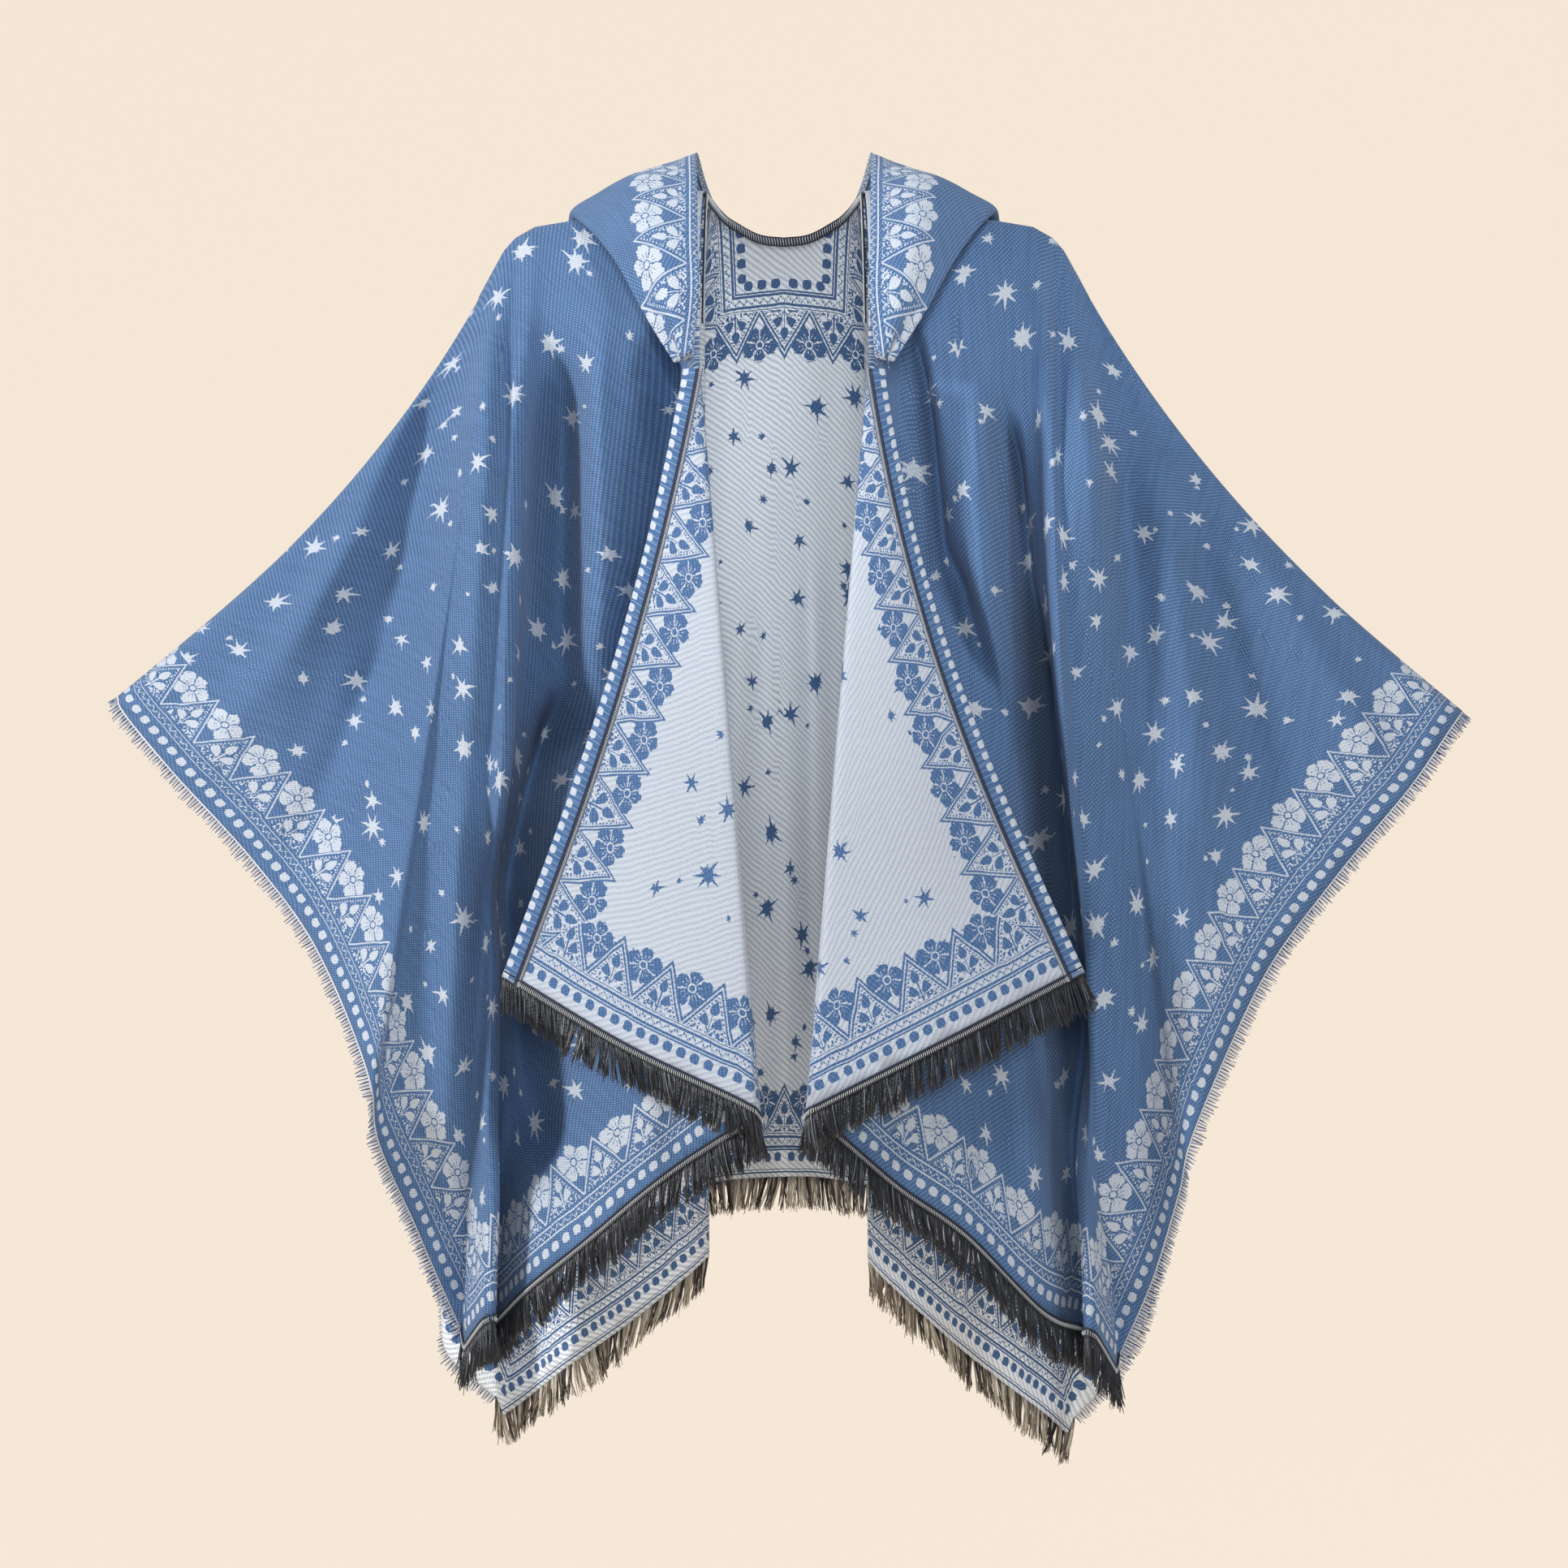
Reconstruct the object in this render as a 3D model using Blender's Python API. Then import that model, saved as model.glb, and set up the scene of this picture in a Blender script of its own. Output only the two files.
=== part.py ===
"""Hooded poncho, hanging as it does when it is worn, with nobody in it.

One woven rectangle lies over the shoulders. A slit opens its front half, from a scooped
neckline to the hem, and the slit's edges fold outward as lapels. A hood of two mirrored
halves is sewn to the neckline and lies down over the upper back.

Metres, +Z up, the front faces -Y. The origin is on the centre line at the height of the
shoulders beside the neck. The tables are in millimetres, with x counted outward from the
centre line, so that one function serves both sides.

The cloth hangs in straight ribs: each leaves the shoulder line, rounds the shoulder, and runs
to its own place on the hem or, past the shoulder's tip, on the selvage.
"""

import bpy
import math
import numpy as np

MM = 0.001
CLOTH = 1.6
GAP = 0.3
COLLECTION = "hooded_poncho"

# Fractions of a rib's length at which it has a point. The shoulder's rounding ends at ROUND.
ROUND = 0.2
ALONG = np.array((0, 0.006, 0.02, 0.045, 0.085, 0.14, 0.2, 0.28, 0.37, 0.47, 0.57, 0.67, 0.78, 0.89, 1))

# The shoulder line from the neck to where the wing begins: x, z.
SHOULDER = np.array((
    (58, 1), (98, -7), (139, -14), (181, -21), (195, -29), (203, -38), (213, -56), (221, -71),
))
WING_SAG = 34

# The front neckline is a scoop: from the shoulder line it drops to the foot of the hood.
NECK_SIDE = np.array((58, 0, 1))
HOOD_FOOT = np.array((60, -88, -131))

# Front panels. Each row is a rib: where it ends (x, y, z), where it starts on the shoulder
# line (x), how far it bellies forward under the shoulder, and how far it sags midway.
FRONT = {
    "left": np.array((
        (83, -130, -700, 75, 62, 0),
        (134, -112, -744, 100, 52, 0),
        (178, -86, -782, 134, 50, 0),
        (207, -34, -814, 162, 44, 0),
        (214, -38, -816, 170, 42, 0),
        (204, -88, -804, 181, 38, 0),
        (211, -91, -806, 187, 34, 0),
        (231, -46, -835, 192, 28, 0),
        (262, -62, -759, 196, 24, 0),
        (288, -86, -689, 199.5, 21, 0),
        (294, -98, -640, 203, 18, 0),
        (335, -64, -553, 206.5, 17, 6),
        (384, -40, -489, 210, 16, 14),
        (444, -26, -425, 211.5, 14, 25),
        (483, -12, -380, 214.5, 12, 32),
        (490, -0.15, -367, 221, 0, WING_SAG),
    )),
    "right": np.array((
        (76, -130, -705, 75, 62, 0),
        (127, -112, -743, 100, 52, 0),
        (182, -86, -800, 134, 50, 0),
        (213, -36, -818, 162, 44, 0),
        (220, -40, -820, 170, 42, 0),
        (212, -88, -814, 181, 38, 0),
        (219, -91, -816, 187, 34, 0),
        (240, -48, -853, 192, 28, 0),
        (265, -60, -792, 196, 24, 0),
        (281, -85, -729, 199.5, 21, 0),
        (292, -98, -678, 203, 18, 0),
        (343, -64, -575, 206.5, 17, 6),
        (398, -40, -503, 210, 16, 14),
        (455, -27, -436, 211, 17, 25),
        (490, -14, -388, 214, 17, 31),
        (499, -0.15, -378, 221, 0, WING_SAG),
    )),
}
FRONT_STEPS = (1, 2, 2, 2, 2, 1, 2, 2, 2, 2, 2, 2, 2, 2, 2, 2, 1)
FRONT_CORNER = 9

# Lapels. Each row is a rib that starts in the bunch at the hood's foot and ends on the hem.
# The first is the slit's edge, and the last is the fold against the front panel.
LAPEL = {
    "left": np.array((
        (70, -96.5, -134, 196, -118, -560),
        (66.5, -98, -134, 110, -152, -608),
        (62, -97, -133.5, 30, -170, -645),
        (59.6, -93.5, -133, 18.5, -168.5, -654),
    )),
    "right": np.array((
        (70, -96.5, -134, 209, -118, -557),
        (66.5, -98, -134, 120, -152, -601),
        (62, -97, -133.5, 30, -170, -645),
        (59.6, -93.5, -133, 17.5, -168.5, -652),
    )),
}
LAPEL_BOW = {"left": 12, "right": 20}
FOLD_END = {"left": np.array((16, -160, -659)), "right": np.array((15, -160, -656))}
TURNED_EDGE = 0.12

# Back panel, half of it. Each row is a rib: its end, its start (x, y, z), its belly and sag.
# Rows 2 to 6 are the pleat, which folds behind the centre and returns toward it.
BACK = {
    "left": np.array((
        (0, 135, -724, 0, 62, -24, 28, 0),
        (29, 152, -727, 19, 59, -22, 28, 0),
        (60, 132, -729, 37, 50, -14, 30, 0),
        (150, 172, -750, 46, 41, -9, 32, 0),
        (160, 160, -757, 53, 24, -3, 42, 0),
        (70, 124, -780, 58, 0.15, 1, 55, 0),
        (62, 108, -786, 66, 0.15, 0, 50, 0),
        (113, 92, -827, 96, 0.15, 0, 50, 0),
        (157, 60, -855, 127, 0.15, 0, 46, 0),
        (192, 88, -885, 165, 0.15, 0, 40, 0),
        (215, 70, -899, 192, 0.15, 0, 30, 0),
        (252, 75, -866, 196, 0.15, 0, 26, 0),
        (261, 88, -813, 199.5, 0.15, 0, 23, 0),
        (296, 95, -702, 203, 0.15, 0, 18, 0),
        (310, 66, -609, 206.5, 0.15, 0, 17, 6),
        (386, 40, -492, 210, 0.15, 0, 16, 16),
        (445, 26, -424, 213.5, 0.15, 0, 14, 25),
        (483, 11, -380, 217, 0.15, 0, 10, 32),
        (490, 0.15, -367, 221, 0.15, 0, 0, WING_SAG),
    )),
    "right": np.array((
        (0, 135, -724, 0, 62, -24, 28, 0),
        (28, 150, -726, 19, 59, -22, 28, 0),
        (63, 132, -730, 37, 50, -14, 30, 0),
        (152, 172, -752, 46, 41, -9, 32, 0),
        (163, 160, -760, 53, 24, -3, 42, 0),
        (77, 124, -784, 58, 0.15, 1, 55, 0),
        (68, 108, -790, 66, 0.15, 0, 50, 0),
        (118, 92, -836, 96, 0.15, 0, 50, 0),
        (156, 58, -864, 127, 0.15, 0, 46, 0),
        (197, 85, -898, 165, 0.15, 0, 40, 0),
        (217, 70, -914, 192, 0.15, 0, 30, 0),
        (248, 75, -882, 196, 0.15, 0, 26, 0),
        (273, 88, -835, 199.5, 0.15, 0, 23, 0),
        (295, 95, -720, 203, 0.15, 0, 18, 0),
        (322, 66, -627, 206.5, 0.15, 0, 17, 6),
        (388, 40, -523, 210, 0.15, 0, 16, 16),
        (455, 26, -437, 213.5, 0.15, 0, 14, 25),
        (491, 11, -387, 217, 0.15, 0, 10, 32),
        (499, 0.15, -378, 221, 0.15, 0, 0, WING_SAG),
    )),
}
BACK_STEPS = (2, 2, 2, 3, 2, 2, 2, 2, 2, 2, 1, 1, 2, 2, 2, 2, 1, 1)
BACK_NECK_SIDE = 5
BACK_CORNER = 10

# Hood, half of it. Each row is a section from the foot in front to the centre behind: the
# seam on the neckline, the under layer midway, the outer fold, the upper layer midway and
# the opening's edge, each as x, y, z. The last number is how far the under layer lifts.
HOOD = np.array((
    (64, -91, -125, 70, -92, -127, 77, -96, -128, 71, -101, -126, 65, -101, -123, 0),
    (61, -84, -78, 80, -88, -87, 99, -90, -92, 82, -103, -84, 60, -100, -81, 2),
    (60, -70, -43, 92, -70, -50, 122, -62, -51, 94, -86, -40, 61, -87, -43, 3),
    (59, -43, -10, 103, -32, -11, 148, -18, -16, 106, -38, 8, 62, -46, 6, 4),
    (58, 1, 5, 105, 10, 0, 157, 16, -14, 112, 14, 14, 63, 6, 34, 4),
    (54.5, 20, 3, 105, 54, -18, 159, 58, -68, 116, 74, -9, 56, 46, 14, 10),
    (38, 54, -9, 94, 82, -62, 144, 92, -152, 104, 106, -72, 39, 84, -20, 14),
    (19, 63, -18, 52, 102, -110, 88, 136, -245, 60, 134, -120, 20, 98, -31, 14),
    (0.15, 66, -20, 0.15, 110, -118, 0.15, 148, -290, 0.15, 140, -135, 0.15, 106, -37, 14),
))
HOOD_FOLD_HALF = 5
HOOD_OPEN = 20
HOOD_LAYER_POINTS = 7

# Fringe: a narrow strip under each hem, and the locks that hang from it.
STRIP = 4
STRIP_THICK = 1.4
LOCK_PITCH = 12
LOCK_ROOT = 0.62
LOCK_TIP = 0.25
LOCK_LENGTH = 24
CORNER_REACH = 1.5
NECK_BAND_HEIGHT = 6
NECK_BAND_THICK = 1.8
EDGE_STRIP_THICK = 1.2


def through(knots, at, breaks=()):
    """A smooth curve through the knots, read at places counted in knots, with corners at breaks."""
    knots = np.asarray(knots, float)
    last = len(knots) - 1
    found = []
    for place in at:
        k = min(int(place), last - 1)
        w = place - k
        here, after = knots[k], knots[k + 1]
        leave = after - here if k == 0 or k in breaks else (after - knots[k - 1]) / 2
        arrive = after - here if k + 1 == last or k + 1 in breaks else (knots[k + 2] - here) / 2
        w2, w3 = w * w, w * w * w
        found.append(
            (2 * w3 - 3 * w2 + 1) * here + (w3 - 2 * w2 + w) * leave
            + (3 * w2 - 2 * w3) * after + (w3 - w2) * arrive
        )
    return np.array(found)


def by_length(points, count):
    """The same number of points on each section, evenly spaced on a smooth curve through its points."""
    fine = through(points, np.linspace(0, len(points) - 1, 12 * len(points)))
    run = np.concatenate(([0], np.cumsum(np.linalg.norm(np.diff(fine, axis=0), axis=1))))
    even = np.linspace(0, run[-1], count)
    return np.stack([np.interp(even, run, fine[:, axis]) for axis in range(3)], axis=1)


def eased(w):
    """Smooth from 0 to 1."""
    w = np.clip(w, 0, 1)
    return w * w * (3 - 2 * w)


def rounded(along):
    """How much of its belly a rib has: an elliptic round of the shoulder, then a slow return."""
    rise = np.sqrt(1 - (1 - np.minimum(along / ROUND, 1)) ** 2)
    return rise * (1 - eased((along - ROUND) / (1 - ROUND)))


def shoulder_point(x, y):
    """The point of the shoulder line at x."""
    return np.array((x, y, np.interp(x, SHOULDER[:, 0], SHOULDER[:, 1])))


def rib(start, end, belly, sag, side_y):
    """Points along one rib, from the shoulder line to its end on the hem or the selvage."""
    along = ALONG[:, None]
    points = start + (end - start) * along
    points[:, 1] += side_y * belly * rounded(ALONG)
    points[:, 2] -= sag * np.sin(math.pi * ALONG ** 0.7)
    return points


def neckline_rib(side):
    """The front panel's inner rib: down the scooped neckline, then along the lapel's fold."""
    scoop = np.minimum(ALONG / ROUND, 1)
    points = NECK_SIDE + (HOOD_FOOT - NECK_SIDE) * scoop[:, None]
    points[:, 1] = HOOD_FOOT[1] * np.sqrt(1 - (1 - scoop) ** 2) - GAP / 2
    below = (ALONG > ROUND)
    fall = (ALONG[below] - ROUND) / (1 - ROUND)
    foot = points[len(ALONG) - below.sum() - 1]
    fold = FOLD_END[side] + np.array((0, GAP / 2, 0))
    points[below] = foot + (fold - foot) * fall[:, None]
    return points


def columns_between(steps):
    """Places across the ribs: so many steps in each stretch between two rows of a table."""
    places = [k + n / step for k, step in enumerate(steps) for n in range(step)]
    return np.array(places + [len(steps)])


def across(ribs, places, corner):
    """Fills in the ribs between those of the table. Their ends turn a corner at the hem's end."""
    ribs = np.asarray(ribs)
    rows = []
    for r, along in enumerate(ALONG):
        smooth = through(ribs[:, r], places)
        cornered = through(ribs[:, r], places, (corner,))
        share = eased((along - 0.55) / 0.45)
        rows.append(smooth + (cornered - smooth) * share)
    return np.array(rows).transpose(1, 0, 2)


def front_grid(side):
    """The front panel from the neckline and the lapel's fold out to the wing's upper fold."""
    first = neckline_rib(side)
    turn = first + np.stack((5 + 2 * ALONG, 9 * ALONG, -1 - 0 * ALONG), axis=1)
    ribs = [first, turn]
    for x, y, z, start_x, belly, sag in FRONT[side]:
        start = shoulder_point(start_x, -GAP / 2)
        ribs.append(rib(start, np.array((x, y, z)), belly, sag, -1))
    grid = across(ribs, columns_between(FRONT_STEPS), FRONT_CORNER)
    grid[:, 0, 1] = -GAP / 2
    grid[-1, :, 1] = -GAP / 2
    return grid


def back_grid():
    """The back panel, from one wing's upper fold to the other's."""
    halves = []
    for side in ("left", "right"):
        ribs = []
        for x, y, z, start_x, start_y, start_z, belly, sag in BACK[side]:
            on_shoulder = start_y < 1
            start = shoulder_point(start_x, GAP / 2) if on_shoulder else np.array((start_x, start_y, start_z))
            ribs.append(rib(start, np.array((x, y, z)), belly, sag, 1))
        places = columns_between(BACK_STEPS)
        grid = across(ribs, places, BACK_CORNER)
        tops = np.array([points[0] for points in ribs])
        grid[:, 0] = through(tops, places, (BACK_NECK_SIDE,))
        shoulder = places >= BACK_NECK_SIDE
        grid[shoulder, 0, 1] = GAP / 2
        grid[-1, :, 1] = GAP / 2
        halves.append(grid)
    left = halves[0][:0:-1] * np.array((-1, 1, 1))
    return np.concatenate((left, halves[1]))


def lapel_grid(side):
    """The slit's edge turned outward, from its free edge to the fold."""
    rows = LAPEL[side]
    fold_top = HOOD_FOOT + (FOLD_END[side] - HOOD_FOOT) * 0.006 - np.array((0, GAP / 2, 0))
    fold_end = FOLD_END[side] - np.array((0, GAP / 2, 0))
    tops = np.vstack((rows[:, :3], fold_top))
    ends = np.vstack((rows[:, 3:], fold_end))
    places = np.array((0, TURNED_EDGE, 0.4, 0.7, 1, 1.35, 1.7, 2, 2.35, 2.7, 3, 3.35, 3.7, 4))
    top_line = through(tops, places)
    end_line = through(ends, places)
    fall = np.linspace(0, 1, 10)[None, :, None]
    grid = top_line[:, None] + (end_line - top_line)[:, None] * fall
    from_fold = np.linalg.norm(end_line - end_line[-1], axis=1)
    free = (from_fold / from_fold[0])[:, None]
    grid[:, :, 0] -= LAPEL_BOW[side] * free * np.sin(math.pi * fall[:, :, 0] ** 0.9)
    return grid


def hood_grid():
    """Half of the hood: each section runs from the seam out to the fold and back to the opening."""
    sections = []
    for row in HOOD:
        seam, under, fold, over, edge = row[:15].reshape(5, 3)
        lift = np.array((0, 0.5 * np.sign(seam[1] + 20), 0.85)) * row[15]
        rise = seam * 0.65 + under * 0.35 + lift
        along = (fold - under) / np.linalg.norm(fold - under)
        apart = (over - under) - along * np.dot(over - under, along)
        apart = apart / np.linalg.norm(apart) * HOOD_FOLD_HALF * min(1, np.linalg.norm(over - under) / HOOD_OPEN)
        inner = fold - along * HOOD_FOLD_HALF
        lower = by_length((seam, rise, under, inner - apart), HOOD_LAYER_POINTS)
        upper = by_length((inner + apart, over, edge), HOOD_LAYER_POINTS)
        sections.append(np.vstack((lower, fold, upper)))
    sections = np.array(sections)
    places = np.linspace(0, len(HOOD) - 1, 19)
    grid = np.array([through(sections[:, r], places) for r in range(sections.shape[1])])
    grid = grid.transpose(1, 0, 2)
    grid[-1, :, 0] = GAP / 2
    return grid


def normals_of(grid):
    """Unit normals at a grid's points, from the directions to their neighbours."""
    over = np.gradient(grid, axis=0)
    down = np.gradient(grid, axis=1)
    normal = np.cross(over, down)
    return normal / np.linalg.norm(normal, axis=2, keepdims=True)


def mirrored(grid, side):
    """Millimetres outward become metres in the world, on the left or the right."""
    sign = -1 if side == "left" else 1
    return grid * np.array((sign, 1, 1)) * MM


def square_edge(grid, normals, picked, axis):
    """Turns an edge's normals into the plane across an axis, so that the wall ends square there."""
    line = grid[picked]
    across_axis = np.cross(np.eye(3)[axis], np.gradient(line, axis=0))
    across_axis /= np.linalg.norm(across_axis, axis=1, keepdims=True)
    if np.sum(across_axis * normals[picked]) < 0:
        across_axis = -across_axis
    normals[picked] = across_axis


def shell_faces(columns, rows):
    """Faces of a wall whose outer points come first and inner points after, closed all round."""
    outer = np.arange(columns * rows).reshape(columns, rows)
    inner = outer + columns * rows
    faces = []
    for c in range(columns - 1):
        for r in range(rows - 1):
            faces.append((outer[c, r], outer[c + 1, r], outer[c + 1, r + 1], outer[c, r + 1]))
            faces.append((inner[c, r], inner[c, r + 1], inner[c + 1, r + 1], inner[c + 1, r]))
    rim = [(c, 0) for c in range(columns)]
    rim += [(columns - 1, r) for r in range(1, rows)]
    rim += [(c, rows - 1) for c in range(columns - 2, -1, -1)]
    rim += [(0, r) for r in range(rows - 2, 0, -1)]
    for here, after in zip(rim, rim[1:] + rim[:1]):
        faces.append((outer[after], outer[here], inner[here], inner[after]))
    return faces


def add_solid(name, points, faces, colour, roughness):
    """Makes one named object with its own material."""
    mesh = bpy.data.meshes.new(name)
    mesh.from_pydata([tuple(p) for p in points], [], [tuple(int(i) for i in f) for f in faces])
    mesh.validate()
    volume = sum(
        np.dot(points[t.vertices[0]], np.cross(points[t.vertices[1]], points[t.vertices[2]]))
        for t in triangles_of(mesh)
    )
    if volume < 0:
        mesh.flip_normals()
    mesh.shade_smooth()
    mesh.set_sharp_from_angle(angle=math.radians(50))
    material = bpy.data.materials.new(name)
    material.use_nodes = True
    finish = material.node_tree.nodes["Principled BSDF"]
    finish.inputs["Base Color"].default_value = (*colour, 1)
    finish.inputs["Roughness"].default_value = roughness
    finish.inputs["Metallic"].default_value = 0
    mesh.materials.append(material)
    solid = bpy.data.objects.new(name, mesh)
    bpy.data.collections[COLLECTION].objects.link(solid)
    return solid


def triangles_of(mesh):
    """The mesh's triangles, worked out."""
    mesh.calc_loop_triangles()
    return mesh.loop_triangles


def add_wall(name, grid, normals, thick, colour, roughness=0.9):
    """A cloth wall on both sides of a grid of points in metres."""
    half = thick * MM / 2
    points = np.concatenate(((grid + normals * half).reshape(-1, 3), (grid - normals * half).reshape(-1, 3)))
    return add_solid(name, points, shell_faces(grid.shape[0], grid.shape[1]), colour, roughness)


def add_fringe(name, hem, fall, outward, colour, rng):
    """A strip under the hem with locks hanging from it, as one solid.

    hem holds the cloth's bottom edge, fall the cloth's own direction there and outward its
    normal, all along the edge.
    """
    run = np.concatenate(([0], np.cumsum(np.linalg.norm(np.diff(hem, axis=0), axis=1))))
    locks = int(run[-1] / (LOCK_PITCH * MM))
    stations = []
    for n in range(locks):
        stations += [n + (1 - LOCK_ROOT) / 2, n + (1 + LOCK_ROOT) / 2]
    stations = np.array([0.02] + stations + [locks - 0.02]) * run[-1] / locks
    corners = run[1:-1]
    nearest = corners[np.argmin(np.abs(stations[:, None] - corners), axis=1)]
    stations = np.where(np.abs(nearest - stations) < CORNER_REACH * MM, nearest, stations)
    marks = np.unique(np.round(np.concatenate((stations, corners)), 7))
    lock_start = set(np.round(stations[1:-1:2], 7))

    def at(values):
        return np.stack([np.interp(marks, run, values[:, axis]) for axis in range(3)], axis=1)

    edge, down, out = at(hem), at(fall), at(outward)
    down /= np.linalg.norm(down, axis=1, keepdims=True)
    out /= np.linalg.norm(out, axis=1, keepdims=True)
    top = edge + down * GAP * MM
    low = top + down * STRIP * MM
    half = out * STRIP_THICK * MM / 2
    points = [p for k in range(len(marks)) for p in (top[k] + half[k], top[k] - half[k], low[k] - half[k], low[k] + half[k])]
    faces = [(0, 1, 2, 3)]
    k = 0
    while k < len(marks) - 1:
        a, b = 4 * k, 4 * k + 4
        faces += [(a, b, b + 1, a + 1), (a + 1, b + 1, b + 2, a + 2), (a + 3, b + 3, b, a)]
        if marks[k] in lock_start:
            root = np.array((points[a + 2], points[b + 2], points[b + 3], points[a + 3]))
            middle = root.mean(axis=0)
            hang = down[k] * 0.55 + np.array((0, 0, -1)) * 0.45 + rng.normal(0, 0.05, 3)
            hang /= np.linalg.norm(hang)
            tip = middle + hang * LOCK_LENGTH * MM * rng.uniform(0.86, 1.08)
            first = len(points)
            points += [tip + (p - middle) * LOCK_TIP for p in root]
            ring = (a + 2, b + 2, b + 3, a + 3)
            for n in range(4):
                m = (n + 1) % 4
                faces.append((ring[n], ring[m], first + m, first + n))
            faces.append((first, first + 1, first + 2, first + 3))
        else:
            faces.append((a + 2, b + 2, b + 3, a + 3))
        k += 1
    end = 4 * (len(marks) - 1)
    faces.append((end + 3, end + 2, end + 1, end))
    return add_solid(name, np.array(points), faces, colour, 0.95)


def add_band(name, path, inward, colour):
    """A narrow upright band beside a path, on the side that inward points to."""
    near = path + inward * (CLOTH / 2 + GAP) * MM
    far = near + inward * NECK_BAND_THICK * MM
    up = np.array((0, 0, NECK_BAND_HEIGHT * MM * 0.6))
    low = np.array((0, 0, -NECK_BAND_HEIGHT * MM * 0.4))
    rings = np.stack((near + up, near + low, far + low, far + up), axis=1)
    count = len(path)
    faces = [(0, 1, 2, 3), (4 * count - 1, 4 * count - 2, 4 * count - 3, 4 * count - 4)]
    for k in range(count - 1):
        for n in range(4):
            m = (n + 1) % 4
            faces.append((4 * k + n, 4 * k + 4 + n, 4 * k + 4 + m, 4 * k + m))
    return add_solid(name, rings.reshape(-1, 3), faces, colour, 0.9)


def neck_path(fronts, back):
    """The neckline from one hood foot round behind to the other, and the way in from it."""
    rows = int(np.sum(ALONG <= ROUND))
    up_left = fronts["left"][0, rows - 2:0:-1]
    down_right = fronts["right"][0, 1:rows - 1]
    inside = np.abs(back[:, 0, 0]) <= NECK_SIDE[0] * MM + 1e-6
    path = np.concatenate((up_left, back[inside, 0], down_right))
    inward = -path.copy()
    inward[:, 1] = -np.maximum(path[:, 1], 0)
    inward[:, 2] = 0
    return path, inward / np.linalg.norm(inward, axis=1, keepdims=True)


for leftover in list(bpy.data.objects):
    bpy.data.objects.remove(leftover, do_unlink=True)
bpy.context.scene.collection.children.link(bpy.data.collections.new(COLLECTION))

BLUE = (0.08, 0.17, 0.37)
PALE = (0.62, 0.66, 0.76)
DARK = (0.02, 0.022, 0.035)
TAUPE = (0.2, 0.15, 0.11)
rng = np.random.default_rng(7)

fronts = {}
for side in ("left", "right"):
    grid = mirrored(front_grid(side), side)
    fronts[side] = grid
    normals = normals_of(grid)
    below_foot = int(np.sum(ALONG <= ROUND)) - 1
    square_edge(grid, normals, (slice(None), 0), 1)
    square_edge(grid, normals, (-1, slice(None)), 1)
    square_edge(grid, normals, (0, slice(below_foot, None)), 1)
    add_wall(f"front_{side}", grid, normals, CLOTH, BLUE)
    hem = slice(0, sum(FRONT_STEPS[:FRONT_CORNER]) + 1)
    add_fringe(f"fringe_front_{side}", grid[hem, -1], (grid[:, -1] - grid[:, -2])[hem], normals[hem, -1], DARK, rng)

    lapel = mirrored(lapel_grid(side), side)
    normals = normals_of(lapel)
    square_edge(lapel, normals, (-1, slice(None)), 1)
    add_wall(f"lapel_{side}", lapel, normals, CLOTH, PALE)
    add_fringe(f"fringe_lapel_{side}", lapel[:, -1], (lapel[:, -1] - lapel[:, -2]), normals[:, -1], DARK, rng)
    facing = np.sign(-normals[0, 0, 1])
    strip = lapel[:2] + normals[:2] * facing * (CLOTH / 2 + GAP + EDGE_STRIP_THICK / 2) * MM
    add_wall(f"turned_edge_{side}", strip, normals[:2], EDGE_STRIP_THICK, BLUE)

    hood = mirrored(hood_grid(), side)
    normals = normals_of(hood)
    square_edge(hood, normals, (-1, slice(None)), 0)
    add_wall(f"hood_{side}", hood, normals, CLOTH, BLUE)

back = back_grid() * MM
normals = normals_of(back)
neck_columns = np.flatnonzero(back[:, 0, 1] > MM)
square_edge(back, normals, (slice(None, neck_columns[0]), 0), 1)
square_edge(back, normals, (slice(neck_columns[-1] + 1, None), 0), 1)
square_edge(back, normals, (0, slice(None)), 1)
square_edge(back, normals, (-1, slice(None)), 1)
add_wall("back", back, normals, CLOTH, BLUE)
middle = sum(BACK_STEPS)
corner = sum(BACK_STEPS[:BACK_CORNER])
hem = slice(middle - corner, middle + corner + 1)
add_fringe("fringe_back", back[hem, -1], (back[:, -1] - back[:, -2])[hem], normals[hem, -1], TAUPE, rng)

path, inward = neck_path(fronts, back)
add_band("neck_seam", path, inward, DARK)
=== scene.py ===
"""Hooded poncho of double-faced woven cloth, hanging as it does when it is worn, with nobody in it.

Metres, +Z up, the front faces -Y. Tables are in millimetres with x counted outward from the
centre line, as the garment's pattern cutter would note them, and MM turns them into metres.
"""

import math
from functools import partialmethod

import bpy
import numpy as np
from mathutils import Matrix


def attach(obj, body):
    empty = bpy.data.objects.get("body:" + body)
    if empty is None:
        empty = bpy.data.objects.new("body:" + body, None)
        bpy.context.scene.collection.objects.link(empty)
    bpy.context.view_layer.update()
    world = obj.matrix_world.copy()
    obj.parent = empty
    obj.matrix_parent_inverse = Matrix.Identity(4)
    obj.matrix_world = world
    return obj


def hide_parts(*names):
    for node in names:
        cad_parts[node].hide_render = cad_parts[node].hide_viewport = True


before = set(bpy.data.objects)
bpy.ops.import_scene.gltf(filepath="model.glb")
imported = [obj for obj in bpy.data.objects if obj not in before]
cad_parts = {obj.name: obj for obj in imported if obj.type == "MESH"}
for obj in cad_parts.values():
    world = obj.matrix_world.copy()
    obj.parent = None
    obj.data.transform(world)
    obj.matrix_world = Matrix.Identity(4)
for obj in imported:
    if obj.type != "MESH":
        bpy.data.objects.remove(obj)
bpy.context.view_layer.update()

# Camera
# It stands straight in front of the garment, level with its middle, as the photograph was taken.
VIEW_DISTANCE = 2.9
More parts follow.
